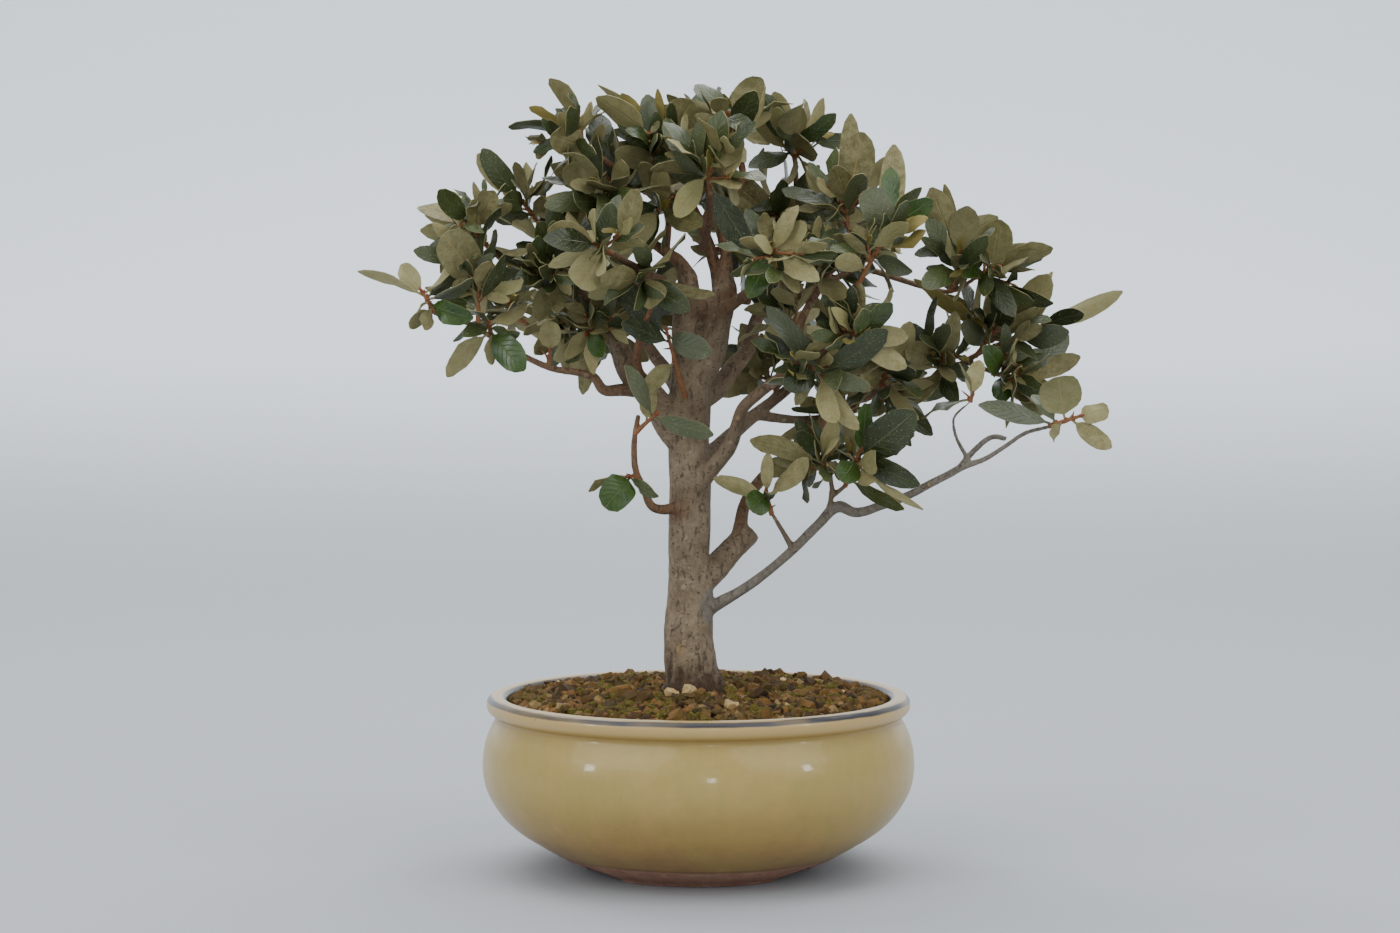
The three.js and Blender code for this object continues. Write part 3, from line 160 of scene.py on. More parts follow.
# Shoots: (name, foot, tip, leaves by rule, their length, picked leaves). Foot and tip are (x, z, depth).
# A picked leaf is (place along the shoot, x, z and depth of its tip, width, facing), facing 0 to the front
SHOOTS = [
    ("far_left", (-158, 335, -53), (-165, 346, -56), 1, 22, [(0.9, -204, 359, -50, 12, 118),
        (1, -146, 371, -46, 11, 112), (0.2, -173, 325, -58, 9, 150), (0.3, -164, 324, -62, 9, 150),
        (0.7, -135, 355, -62, 10, 55), (0.8, -144, 358, -38, 11, 40), (0.5, -135, 331, -68, 14, 20),
        (0.6, -169, 334, -66, 5, 100)]),
    ("left_node", (-124, 320, -46), (-126, 328, -54), 1, 24, [(0.5, -104, 300, -66, 18, 12),
        (0.8, -107, 322, -64, 12, 50), (1, -103, 340, -36, 11, 140), (0.7, -141, 320, -66, 10, 35),
        (0.4, -151, 296, -62, 13, 150), (0.3, -124, 303, -54, 7, 160)]),
    ("left_vertical", (-132, 325, -48), (-132, 362, -44), 2, 28, [(0.85, -151, 380, -62, 25, 176),
        (0.45, -116, 369, -54, 10, 45), (0.6, -150, 356, -36, 9, 40), (1, -121, 384, -36, 10, 60),
        (0.3, -135, 334, -30, 8, 60)]),
    ("left_upper_tip", (-123, 370, -24), (-138, 388, -28), 3, 34, [(0.8, -122, 407, -40, 14, 172),
        (1, -150, 406, 0, 10, 125), (0.3, -93, 373, -36, 10, 115), (0.6, -119, 397, -50, 8, 60),
        (0.4, -100, 362, -8, 11, 30)]),
    ("left_upper_mid", (-92, 348, -20), (-88, 362, -32), 4, 34, [(0.7, -84, 335, -40, 14, 172),
        (0.9, -110, 352, -40, 13, 25), (0.5, -96, 329, -30, 11, 172)]),
    ("left_crown", (-93, 384, 8), (-107, 403, 2), 3, 36, [(1, -132, 429, 0, 15, 178),
        (0.9, -88, 428, -10, 8, 80), (0.8, -103, 424, 14, 8, 120), (0.9, -117, 402, -24, 13, 10),
        (0.5, -121, 389, -14, 13, 25), (0.6, -78, 398, -14, 12, 160)]),
    ("left_limb_mid", (-77, 354, -5), (-82, 368, -24), 4, 36, [(0.9, -97, 388, -40, 15, 25),
        (0.6, -59, 372, -44, 14, 165), (1, -76, 392, -34, 12, 170)]),
    ("left_limb_low", (-58, 330, -10), (-66, 322, -24), 2, 32, [(0.6, -80, 307, -30, 10, 150),
        (0.8, -69, 283, -34, 11, 168), (1, -57, 308, -46, 11, 20)]),
    ("left_limb_back", (-50, 316, -8), (-62, 330, 26), 6, 38, []),
    ("left_lower_mid", (-90, 302, -35), (-89, 311, -34), 0, 24, [(1, -89, 329, -36, 13, 178)]),
    ("upper_left", (-60, 428, -18), (-78, 442, -20), 1, 34, [(1, -101, 457, -24, 8, 140),
        (0.8, -82, 456, -6, 15, 6), (0.9, -64, 460, -22, 9, 130), (0.4, -56, 446, -34, 9, 150),
        (0.2, -57, 452, 4, 14, 12), (0.3, -88, 440, -42, 18, 172)]),
    ("upper_left_low", (-46, 410, -15), (-60, 401, -30), 3, 38, [(0.7, -80, 421, -40, 18, 175),
        (0.9, -94, 415, -20, 9, 60), (0.6, -44, 424, -44, 13, 162), (1, -92, 398, -50, 13, 20),
        (0.3, -90, 384, -10, 12, 165)]),
    ("upper_left_back", (-44, 402, -14), (-52, 412, 18), 6, 40, []),
    ("top_left", (-21, 418, 4), (-26, 433, 4), 1, 38, [(1, -46, 465, -4, 11, 172),
        (0.9, -60, 470, 14, 9, 110), (0.9, -30, 465, 18, 15, 8), (1, -24, 467, 8, 8, 150),
        (0.8, -4, 461, -14, 24, 178), (0.3, -50, 430, -24, 14, 165)]),
    ("top_left_low", (-19, 400, 0), (-24, 396, -18), 2, 38, [(0.7, -58, 388, -30, 15, 20),
        (0.9, 2, 386, -46, 15, 165), (0.5, -34, 424, -36, 12, 168)]),
    ("leader_tip", (6.2, 410.4, 20.1), (2.4, 430.4, 29.1), 5, 40, [(0.2, -18, 424, -16, 19, 6),
        (0.8, 24, 468, 34, 12, 30)]),
    ("top_middle", (23, 436, 8), (18, 452, 5), 0, 38, [(1, 38, 474, 0, 18, 178), (0.8, 40, 435, -4, 8, 115),
        (0.6, 27, 424, -18, 10, 155), (0.9, -20, 430, -12, 10, 150), (0.9, -2, 470, 22, 13, 25)]),
    ("top_right", (58, 423, 45), (55, 438, 38), 1, 40, [(1, 45, 466, 36, 13, 174),
        (0.9, 44, 457, 22, 11, 176), (0.9, 82, 453, 30, 12, 30), (0.3, 66, 436, 8, 21, 178),
        (0.5, 30, 421, 20, 12, 30)]),
    ("top_right_low", (54, 385, 57), (46, 392, 34), 3, 42, [(0.9, 12, 398, 20, 13, 165),
        (0.6, 68, 402, 8, 12, 168), (1, 50, 414, 4, 12, 20)]),
    ("right_top", (88, 374, -20), (90, 405, -14), 2, 36, [(1, 98, 442, -14, 22, 174),
        (0.9, 91, 453, 2, 13, 176), (0.8, 82, 422, -34, 15, 170), (0.9, 114, 428, -4, 11, 160),
        (0.5, 66, 400, -30, 9, 100), (0.4, 75, 372, -50, 13, 20)]),
    ("right_high", (95, 350, -45), (116, 388, -40), 1, 34, [(0.9, 101, 408, -46, 20, 14),
        (1, 140, 402, -50, 14, 12), (0.9, 137, 391, -62, 9, 150), (0.7, 136, 383, -60, 10, 140),
        (1, 115, 421, -20, 13, 20), (1, 117, 434, -14, 16, 170), (0.5, 128, 359, -66, 11, 25),
        (0.3, 82, 366, -64, 12, 160)]),
    ("right_upper", (151, 347, 30), (157, 369, 14), 2, 36, [(0.9, 139, 409, 10, 18, 174),
        (1, 161, 398, 4, 18, 178), (0.8, 147, 411, 20, 8, 160), (0.6, 134, 350, -8, 15, 20)]),
    ("right_upper_tip", (167, 355, 22), (180, 362, 15), 1, 34, [(0.7, 180, 390, 10, 20, 168),
        (1, 207, 369, 20, 10, 40), (0.4, 158, 356, -4, 9, 30)]),
    ("right_far", (171, 311, 57), (206, 327, 42), 1, 38, [(0.9, 254, 347, 36, 12, 160),
        (0.6, 222, 323, 30, 16, 20), (1, 220, 330, 52, 6, 140), (0.4, 210, 357, 36, 20, 176)]),
    ("right_node", (166, 308, 56), (178, 325, 44), 2, 38, [(1, 188, 350, 30, 24, 178),
        (0.7, 130, 355, 34, 13, 135), (0.6, 157, 326, 26, 16, 25), (0.9, 212, 358, 58, 10, 120),
        (0.4, 184, 304, 30, 16, 170)]),
    ("right_low", (176, 298, 50), (192, 295, 40), 1, 36, [(1, 229, 308, 36, 13, 168),
        (0.4, 184, 281, 26, 15, 25), (0.7, 200, 281, 30, 12, 160), (0.2, 172, 312, 14, 15, 10)]),
    ("right_regrowth_mid", (144, 296, 54), (146, 308, 36), 4, 36, [(0.6, 156, 280, 30, 12, 30),
        (0.9, 124, 312, 20, 15, 170)]),
    ("right_regrowth_low", (110, 288, 49), (113, 302, 30), 3, 36, [(0.5, 132, 270, 16, 9, 150),
        (0.9, 96, 290, 8, 14, 165), (0.8, 130, 300, 4, 14, 30)]),
    ("right_regrowth_back", (77, 270, 42), (90, 282, 74), 5, 38, []),
    ("low_right_end", (210, 266, -42), (228, 272, -44), 0, 34, [(0.6, 216, 296, -56, 25, 178),
        (1, 246, 277, -44, 13, 150), (0.8, 248, 253, -50, 12, 164), (0.2, 168, 279, -54, 12, 22),
        (0.3, 200, 285, -34, 11, 40), (0.5, 213, 258, -64, 8, 150)]),
    ("low_right_mid", (163, 281, -42), (164, 284, -43), 2, 26, [(0.5, 134, 271, -40, 8, 70)]),
    ("low_centre", (88, 230, -26), (97, 251, -38), 0, 36, [(0.9, 130, 275, -54, 24, 6),
        (0.9, 133, 231, -58, 14, 12), (0.7, 135, 216, -34, 8, 120), (0.8, 86, 233, -56, 16, 6),
        (0.5, 107, 233, -46, 10, 150), (1, 100, 280, -50, 12, 30)]),
    ("low_one", (44, 213, -24), (41, 226, -31), 2, 26, [(1, 31, 216, -44, 16, 6), (0.8, 9, 235, -30, 10, 165),
        (0.9, 66, 247, -44, 12, 160)]),
    ("low_two", (79, 236, -26), (73, 247, -30), 4, 30, [(0.8, 31, 258, -44, 14, 155),
        (1, 82, 270, -46, 11, 165)]),
    ("middle_node", (64, 305, -40), (74, 297, -54), 1, 36, [(0.9, 41, 338, -62, 13, 18),
        (1, 113, 324, -62, 18, 25), (0.8, 51, 290, -66, 17, 8), (0.7, 96, 264, -62, 12, 160),
        (1, 82, 268, -72, 13, 165), (0.5, 88, 318, -34, 12, 170)]),
    ("middle_shoot_low", (86, 325, -50), (96, 320, -60), 4, 32, [(0.8, 124, 302, -70, 14, 168),
        (0.6, 116, 340, -64, 14, 30)]),
    ("middle_right_mid", (61, 325, -28), (50, 334, -10), 4, 32, [(0.6, 42, 316, -22, 14, 174)]),
    ("middle_right_high", (74, 351, -24), (66, 362, -36), 4, 36, [(0.5, 88, 343, -56, 14, 170),
        (0.9, 66, 382, -54, 12, 25)]),
    ("front_right", (42, 364.5, -67), (45, 371, -78), 3, 36, [(0.7, 30, 343, -84, 14, 8),
        (0.9, 60, 346, -88, 10, 150), (1, 64, 388, -88, 13, 165)]),
    ("front_top", (7, 408, -37), (5, 420, -52), 3, 40, [(0.3, 35, 365, -46, 17, 12),
        (0.8, -14, 392, -70, 14, 165), (1, 26, 440, -62, 16, 172)]),
    ("front_left", (-52, 369.5, -66), (-61, 375, -80), 3, 38, [(0.5, -72, 350, -86, 20, 174),
        (0.9, -90, 384, -90, 16, 168), (1, -52, 400, -88, 13, 25)]),
    ("front_left_mid", (-32, 358, -38), (-36, 352, -52), 2, 38, [(0.9, -23, 341, -66, 17, 178),
        (0.8, -66, 344, -46, 13, 162), (0.6, 10, 345, -52, 10, 140)]),
    ("trunk_shoot", (-8, 283, -12), (-19, 323, -32), 0, 36, [(1, -49, 351, -46, 14, 14),
        (0.9, -46, 327, -48, 12, 18), (1, 8, 311, -50, 16, 20), (0.6, -32, 287, -34, 12, 160)]),
    ("riser_tip", (-38, 262, -30), (-26, 273, -38), 0, 34, [(0.9, -44, 303, -50, 12, 40),
        (1, 9, 261, -58, 12, 22), (0.6, -30, 293, -30, 11, 165)]),
    ("riser_low", (-36, 236, -25), (-42, 236, -34), 0, 28, [(0.8, -56, 217, -46, 20, 8),
        (0.6, -66, 227, -22, 8, 120), (0.9, -24, 224, -48, 8, 30)]),
    ("back_left_tip", (-52.5, 345, 96), (-64, 366, 122), 8, 40, []),
    ("back_left_mid", (-36, 320, 62), (-28, 338, 84), 8, 40, []),
    ("back_left_low_tip", (-102.5, 327.7, 84.4), (-124, 338, 96), 8, 38, []),
    ("back_left_low_mid", (-72, 317, 74), (-78, 334, 60), 8, 38, []),
    ("back_right_tip", (71.3, 303.4, 97), (84, 320, 120), 8, 40, []),
    ("back_right_mid", (48, 284, 68), (40, 300, 88), 8, 40, []),
    ("back_right_low_tip", (101.2, 277.8, 82.4), (122, 286, 96), 8, 38, []),
    ("back_top_tip", (0.2, 392.3, 72.3), (-10, 414, 92), 9, 40, []),
    ("back_top_mid", (8, 370, 48), (24, 380, 72), 8, 40, []),
    ("dark_limb_back", (76, 352, 52), (84, 366, 80), 8, 40, []),
]

# Picked leaves of another age or finish than the most, by shoot and place in its list; the dark ones get the
# darkest tone, which on right_top is painted shade
LEAF_AGES = {
    "bright": {"far_left": (6,), "left_node": (0,), "left_limb_low": (2,), "right_high": (1, 4),
        "right_upper_tip": (2,), "right_low": (1, 3), "low_centre": (3, 5), "low_one": (0,),
        "front_right": (0,), "riser_low": (0,)},
    "young": {"upper_left": (0, 2), "top_left": (0, 3), "right_high": (2, 3), "right_node": (1, 3)},
    "grey": {"left_vertical": (3, 4), "left_crown": (4,), "right_high": (0, 6), "right_far": (1,),
        "right_node": (2,), "low_right_end": (3,), "trunk_shoot": (2,), "riser_tip": (0,),
        "middle_node": (0,)},
    # Drawn at the darkest tone; on right_top this is painted shade
    "dark": {"low_centre": (0, 1), "front_top": (0,), "leader_tip": (0,), "middle_node": (1, 2),
        "trunk_shoot": (0, 1), "right_high": (5,), "right_top": (0, 1, 2)},
}

# Knots and cut stubs: (limb, place along it, turn in degrees, share of its radius, length past the bark)
KNOTS = [
    ("trunk", 0.34, 250, 0.42, 1.5), ("trunk", 0.52, 60, 0.45, 1.2), ("trunk", 0.66, 200, 0.40, 1.5),
    ("trunk", 0.80, 20, 0.48, 1.6), ("left_stem", 0.30, 180, 0.6, 2.0), ("right_stem", 0.35, 10, 0.6, 2.0),
    ("low_right", 0.45, 90, 0.9, 2.0), ("low_right", 0.62, 270, 0.8, 2.5), ("low_right", 0.78, 80, 0.8, 2.5),
    ("left_limb", 0.30, 150, 0.7, 2.0), ("left_limb", 0.62, 260, 0.8, 2.2),
    ("thick_right", 0.5, 90, 0.6, 2.0),
    ("middle_right", 0.35, 260, 0.8, 2.4), ("middle_right", 0.6, 100, 0.8, 2.4),
    ("dark_limb", 0.5, 90, 0.8, 2.2),
]

# Swellings of the bark: (name, size in metres, height in mm, limb radii in mm from none to full)
BARK_LUMPS = [("swellings", 0.016, 2.2, 2.0, 12.0), ("ridges", 0.0045, 0.8, 1.5, 9.0)]

# Pale stones on the soil: (x, y, size)
STONES = [(-5, -27, 4.2), (-16, -29, 3.0), (19, -68, 3.4), (86, -5, 2.2), (-88, 56, 2.2), (52, -60, 1.7),
          (52, 48, 2.4), (-30, 74, 2.2)]

# Soft lights: (name, place in metres, width and height in metres, watts)
SOFT_LIGHTS = [
    ("window_left", (-2.3, -2.0, 2.4), (3.4, 2.4), 54), ("window_right", (2.3, -1.9, 2.4), (3.2, 2.4), 42),
    ("ceiling", (0.0, -0.2, 2.6), (3.0, 2.2), 34), ("wall_wash", (0.0, 1.4, 2.8), (4.5, 0.8), 84),
    ("far_left", (-2.0, -1.2, 0.75), (0.22, 0.3), 6.0), ("far_middle", (0.28, -2.6, 0.52), (0.2, 0.26), 4.0),
    ("far_right", (1.95, -1.2, 0.75), (0.2, 0.28), 5.0),
]
ROOM_LIGHT = 0.58


# How a leaf is shaped, as (least, range, draw it comes from)
LEAF_ARCH, LEAF_FOLD = (0.02, 0.09, 20), (0.04, 0.34, 21)
LEAF_WAVE, LEAF_PHASE = (0.5, 1.1, 22), (0.0, 6.283, 23)
MOST_CURL, CURL_DRAW = 0.30, 24
# How the leaves are placed, as in the solids
LAST_ROOT = 0.93
ROOT_OFFSET = 0.6
GOLDEN_ANGLE = 2.39996
FULL_TURN = 6.283
PICKED_TRIES = 16
PICKED_LOOSE, PICKED_DEPTH, PICKED_TURN = 0.6, 12, 14
RULE_TRIES = 26
RULE_SEED = 50
SEED_STEP = 100
RULE_LENGTH, RULE_WIDTH = (0.84, 0.32, 2), (0.36, 0.12, 3)
TIP_TOLERANCE = 0.06
# How the leaves placed by rule are varied here: how much narrower, and the share that shows its underside
NARROWED = (0.74, 0.26, 27)
TURNED_OVER, TURN_DRAW = 0.5, 26
TO_EYE = Vector((0, -1, 0))
UP = Vector((0, 0, 1))
WORD = 0xFFFFFFFF


def draw(seed, attempt, channel):
    """A number from 0 to 1 that depends on three whole numbers and nothing else."""
    h = ((seed + 1) * 2654435761 ^ (attempt + 1) * 2246822519) & WORD
    h = (h ^ (channel + 1) * 3266489917) & WORD
    h = ((h ^ (h >> 15)) * 2246822519) & WORD
    h = ((h ^ (h >> 13)) * 3266489917) & WORD
    return (h ^ (h >> 16)) / 4294967296


def spread(seed, attempt, channel):
    return draw(seed, attempt, channel) - 0.5


def varied(seed, least, extent, channel, attempt=0):
    return least + extent * draw(seed, attempt, channel)


def seen(point):
    """The point at a depth that the front view shows at x, z."""
    x, z, depth = point
    scale = 1 + depth / VIEW_DISTANCE
    return Vector((x * scale, depth, VIEW_HEIGHT + (z - VIEW_HEIGHT) * scale))


def to_row(point):
    """From millimetres round the pot's axis to metres in the row frame."""
    return POT_AXIS + Vector(point) * MM


def turned(vector, axis, angle):
    return Quaternion(axis, angle) @ vector


class Leaf:
    """A blade between its root and its tip, with its upper side towards normal."""

    def __init__(self, stem, tip, normal, width, seed):
        self.along = (tip - stem).normalized()
        self.root = stem + self.along * ROOT_OFFSET
        self.tip = tip
        self.length = (tip - self.root).length
        self.normal = (normal - self.along * normal.dot(self.along)).normalized()
        self.aside = self.normal.cross(self.along)
        self.width = width
        self.seed = seed
        self.arch = varied(seed, *LEAF_ARCH)
        self.fold = varied(seed, *LEAF_FOLD)
        self.wave = varied(seed, *LEAF_WAVE)
        self.phase = varied(seed, *LEAF_PHASE)
        self.curl = MOST_CURL * draw(seed, 0, CURL_DRAW) ** 2
        self.age = "old"

    def turn_over(self):
        """The same blade with its underside where its upper side was."""
        self.normal, self.aside = -self.normal, -self.aside
        self.arch, self.fold, self.curl = -self.arch, -self.fold, -self.curl


class Stem:
    """A twig between its foot and its tip, and the leaves that grow from it."""

    def __init__(self, name, foot, tip, along, seed):
        self.name, self.foot, self.tip, self.along, self.seed = name, foot, tip, along, seed
        self.side = self.along.cross(TO_EYE).normalized()
        self.leaves = []

    def out(self, azimuth):
        """The way straight out from the twig at an angle round it."""
        return turned(self.side, self.along, azimuth)


class Shoot(Stem):
    """A young shoot that the solids have too."""

    def __init__(self, index, row):
        name, foot, tip, self.fill, self.long, self.picked = row
        foot, tip = seen(foot), seen(tip)
        super().__init__(name, foot, tip, (tip - foot).normalized(), SEED_STEP * (index + 1))
        self.turn = FULL_TURN * draw(index, 0, 9)


def picked_leaf(shoot, row, seed, attempt):
    """A leaf whose tip was measured, a little off its place where an earlier try was crowded."""
    t, x, z, depth, width, facing = row
    loose = PICKED_LOOSE * attempt
    tip = seen((x + loose * spread(seed, attempt, 0), z + loose * spread(seed, attempt, 1),
                depth + PICKED_DEPTH * loose * spread(seed, attempt, 2)))
    root = shoot.foot.lerp(shoot.tip, t * LAST_ROOT)
    along = (tip - root).normalized()
    front = (TO_EYE - along * TO_EYE.dot(along)).normalized()
    turn = math.radians(facing + PICKED_TURN * loose * spread(seed, attempt, 3))
    return Leaf(root, tip, turned(front, along, turn), width, seed)


def rule_leaf(shoot, place, seed, attempt):
    """A leaf by rule: round the shoot by the golden angle, leaning out less towards its tip."""
    t = (0.25 + 0.75 * place) * LAST_ROOT
    loose = 0.35 + 0.16 * attempt
    azimuth = shoot.turn + GOLDEN_ANGLE * shoot.fill * place + 2 * loose * spread(seed, attempt, 0)
    lean = 1.25 - 0.65 * place + loose * spread(seed, attempt, 1)
    length = shoot.long * varied(seed, *RULE_LENGTH) * (1 - 0.012 * attempt)
    root = shoot.foot.lerp(shoot.tip, t)
    along = shoot.along * math.cos(lean) + shoot.out(azimuth) * math.sin(lean)
    along = (along + UP * 0.12).normalized()
    normal = turned(shoot.along, along, 1.1 * spread(seed, attempt, 4))
    return Leaf(root, root + along * length, normal, length * varied(seed, *RULE_WIDTH), seed)


def tree_of(places):
    """The places in a tree in which the nearest to another can be found."""
    tree = kdtree.KDTree(len(places))
    for i, place in enumerate(places):
        tree.insert(place, i)
    tree.balance()
    return tree


def standing_leaf(tree, tries, make):
    """The first try whose tip the CAD shoot has, or None where the leaf was left out."""
    for attempt in range(tries):
        leaf = make(attempt)
        if tree.find(leaf.tip)[2] < TIP_TOLERANCE:
            return leaf
    return None


def grow_shoots():
    """All shoots with the leaves that the solids have."""
    shoots = [Shoot(i, row) for i, row in enumerate(SHOOTS)]
    for shoot in shoots:
        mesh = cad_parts["shoot_" + shoot.name].data
        tree = tree_of([(v.co - POT_AXIS) / MM for v in mesh.vertices])
        for i, row in enumerate(shoot.picked):
            leaf = standing_leaf(tree, PICKED_TRIES, lambda a: picked_leaf(shoot, row, shoot.seed + i, a))
            if leaf:
                ages = [age for age, places in LEAF_AGES.items() if i in places.get(shoot.name, ())]
                leaf.age = ages[0] if ages else "old"
                shoot.leaves.append(leaf)
        for i in range(shoot.fill):
            place, seed = (i + 1) / shoot.fill, shoot.seed + RULE_SEED + i
            leaf = standing_leaf(tree, RULE_TRIES, lambda a: rule_leaf(shoot, place, seed, a))
            if leaf:
                leaf.width *= varied(leaf.seed, *NARROWED)
                if draw(leaf.seed, 0, TURN_DRAW) < TURNED_OVER:
                    leaf.turn_over()
                shoot.leaves.append(leaf)
    return shoots


# Materials


# Screen colours that a finish goes between, from dark to light
RAMPS = {
    "bark": ((112, 93, 71), (164, 145, 117)), "young_bark": ((104, 88, 68), (140, 124, 100)),
    "scurf": ((92, 56, 30), (146, 98, 58)), "ashen_bark": ((100, 94, 84), (144, 137, 125)),
    "cut_wood": ((118, 94, 62), (172, 148, 108)), "wet_bark": ((44, 28, 13), (88, 64, 38)),
    "shoot": ((98, 54, 26), (148, 94, 52)), "bud": ((96, 40, 18), (146, 84, 42)),
    "leaf": ((30, 38, 12), (70, 80, 38)), "bright_leaf": ((26, 56, 2), (60, 86, 12)),
    "grey_leaf": ((66, 74, 50), (94, 98, 70)), "young_leaf": ((110, 98, 34), (146, 132, 62)),
    "underside": ((98, 89, 52), (160, 150, 102)), "clay": ((158, 116, 96), (196, 154, 134)),
    "granule": ((26, 15, 4), (142, 102, 46)), "moss": ((56, 50, 9), (138, 124, 38)),
    "pebble": ((150, 118, 66), (206, 180, 128)), "plastic": ((28, 32, 34), (48, 52, 54)),
    # The backdrop range runs from painted shade on the floor to painted light up the wall
    "backdrop": ((170, 174, 178), (240, 246, 252)),
}
# Screen colours laid over a finish where a mask is, each with its share
TINTS = {
    "pores": (0.85, (74, 56, 42)), "pale_scales": (0.3, (190, 176, 150)), "cracks": (0.7, (84, 66, 50)),
    "dull_bark": (0.35, (100, 84, 66)), "shoot_scurf": (0.4, (160, 122, 82)),
    "leaf_bloom": (0.35, (84, 94, 54)),
    "leaf_veins": (0.07, (120, 130, 80)), "leaf_midrib": (0.22, (118, 124, 70)),
    "leaf_scales": (1.0, (150, 156, 120)), "under_olive": (0.45, (92, 92, 52)),
    "under_silver": (0.42, (166, 160, 118)), "under_bright": (0.6, (100, 108, 46)),
    "under_young": (0.7, (148, 132, 66)), "under_grey": (0.4, (122, 122, 90)),
    "under_scales": (0.6, (78, 50, 24)),
    "under_veins": (0.20, (112, 98, 60)), "under_midrib": (0.5, (158, 138, 84)),
    "glaze_clouds": (0.7, (160, 142, 70)), "glaze_runs": (0.38, (190, 152, 88)),
    "glaze_grain": (0.18, (128, 98, 52)), "lip": (0.75, (188, 158, 104)), "groove": (0.35, (132, 92, 42)),
    # The inner line is painted shade along the lip's inner edge
    "pinholes": (0.6, (92, 62, 34)), "outer_line": (1.0, (54, 53, 57)), "painted_inner_shade": (0.9, (58, 58, 62)),
    "clay_grit": (0.3, (116, 82, 66)), "pooled_glaze": (0.5, (104, 66, 32)),
    "pale_granule": (1.0, (158, 130, 84)),
    "mossy": (0.6, (74, 66, 12)), "granule_grit": (0.45, (78, 52, 18)),
}
# Finishes of one colour range: (its name, size and contrast of its patches, roughness, relief and its depth)
PLAIN_FINISHES = {
    "bud": ("bud", 1000.0, 1.4, 0.6, 0.4, 0.0004), "moss": ("moss", 1300.0, 1.8, 0.95, 0.8, 0.0008),
    "pebble": ("pebble", 420.0, 1.4, 0.7, 0.3, 0.0006),
    "mesh_plastic": ("plastic", 800.0, 1.2, 0.5, 0.2, 0.0003),
}
# Bands of the glaze, and a painted shade ring inside the lip, in metres of height and radius, each from where
# it starts to where it is full
DARK_BELLY = (0.012, 0.070)
LIP_HEIGHTS, LIP_RADII = (0.0925, 0.0965), (0.113, 0.117)
GROOVE_LOW, GROOVE_HIGH = (0.0895, 0.0925), (0.0965, 0.0935)
OUTER_LINE_LOW, OUTER_LINE_HIGH, OUTER_LINE_RADII = (0.1014, 0.1023), (0.1048, 0.1042), (0.1232, 0.1242)
# Painted shade on the lip's inner edge, where the inner wall falls into shade: its radius, half width and
# heights
INNER_SHADE_RADIUS, INNER_SHADE_EDGE, INNER_SHADE_LOW = 0.1160, (0.0012, 0.0024), (0.0985, 0.1015)
BARE_INSIDE_HEIGHTS, BARE_INSIDE_RADII = (0.096, 0.094), (0.1235, 0.1230)


def linear(red, green, blue):
    """A colour given as screen values from 0 to 255, for a shader socket."""
    parts = [v / 255 for v in (red, green, blue)]
    return tuple(v / 12.92 if v <= 0.04045 else ((v + 0.055) / 1.055) ** 2.4 for v in parts) + (1,)


class Recipe:
    """Adds nodes to a tree. An input given as a socket is linked, and any other is set on the socket."""

    def __init__(self, tree):
        self.tree = tree
        tree.nodes.clear()

    def add(self, kind, inputs=None, **settings):
        node = self.tree.nodes.new("ShaderNode" + kind)
        for name, value in settings.items():
            setattr(node, name, value)
        for key, value in (inputs or {}).items():
            if isinstance(value, bpy.types.NodeSocket):
                self.tree.links.new(value, node.inputs[key])
            else:
                node.inputs[key].default_value = value
        return node

    def math(self, operation, a, b=0.0, clamp=False):
        return self.add("Math", {0: a, 1: b}, operation=operation, use_clamp=clamp).outputs[0]

    def times(self, a, b):
        return self.math("MULTIPLY", a, b)

    def plus(self, a, b):
        return self.math("ADD", a, b)

    def minus(self, a, b):
        return self.math("SUBTRACT", a, b)

    def size(self, a):
        return self.math("ABSOLUTE", a)

    def blend(self, factor, a, b):
        return self.add("Mix", {0: factor, 6: a, 7: b}, data_type="RGBA").outputs[2]

    def ramp(self, factor, name):
        """From the dark to the light colour of a range as factor goes from 0 to 1."""
        dark, light = RAMPS[name]
        return self.blend(factor, linear(*dark), linear(*light))

    def tint(self, colour, mask, name):
        """The colour with its share of a tint where the mask is."""
        share, shade = TINTS[name]
        factor = mask if share == 1.0 else self.times(mask, share)
        return self.blend(factor, colour, linear(*shade))

    def between(self, value, low, high, to_low=0.0, to_high=1.0):
        """Smoothly from to_low to to_high as value goes from low to high."""
        inputs = {0: value, 1: low, 2: high, 3: to_low, 4: to_high}
        return self.add("MapRange", inputs, interpolation_type="SMOOTHSTEP").outputs[0]

    def noise(self, vector, scale, detail=3.0, rough=0.5, distortion=0.0):
        inputs = {"Vector": vector, "Scale": scale, "Detail": detail, "Roughness": rough,
                  "Distortion": distortion}
        return self.add("TexNoise", inputs).outputs["Fac"]

    def place(self):
        return self.add("TexCoord").outputs["Object"]

    def drawn_out(self, vector, height):
        """The same place with its height scaled."""
        return self.add("Mapping", {"Vector": vector, "Scale": (1.0, 1.0, height)}).outputs[0]

    def attribute(self, name):
        return self.add("Attribute", attribute_name=name).outputs["Fac"]

    def surface(self, colour, rough, height, relief, depth, more=None):
        bump = self.add("Bump", {"Height": height, "Strength": relief, "Distance": depth}).outputs["Normal"]
        inputs = {"Base Color": colour, "Roughness": rough, "Normal": bump, **(more or {})}
        return self.add("BsdfPrincipled", inputs)


def new_group(name, sockets, output):
    """A shader node group with its named inputs and one output: its tree, recipe, inputs and output."""
    tree = bpy.data.node_groups.new(name, "ShaderNodeTree")
    tree.interface.new_socket("Vector", in_out="INPUT", socket_type="NodeSocketVector")
    for label, value in sockets.items():
        tree.interface.new_socket(label, in_out="INPUT", socket_type="NodeSocketFloat").default_value = value
    tree.interface.new_socket(output, in_out="OUTPUT", socket_type="NodeSocketFloat")
    recipe = Recipe(tree)
    start = tree.nodes.new("NodeGroupInput").outputs
    return tree, recipe, start, tree.nodes.new("NodeGroupOutput").inputs[output]


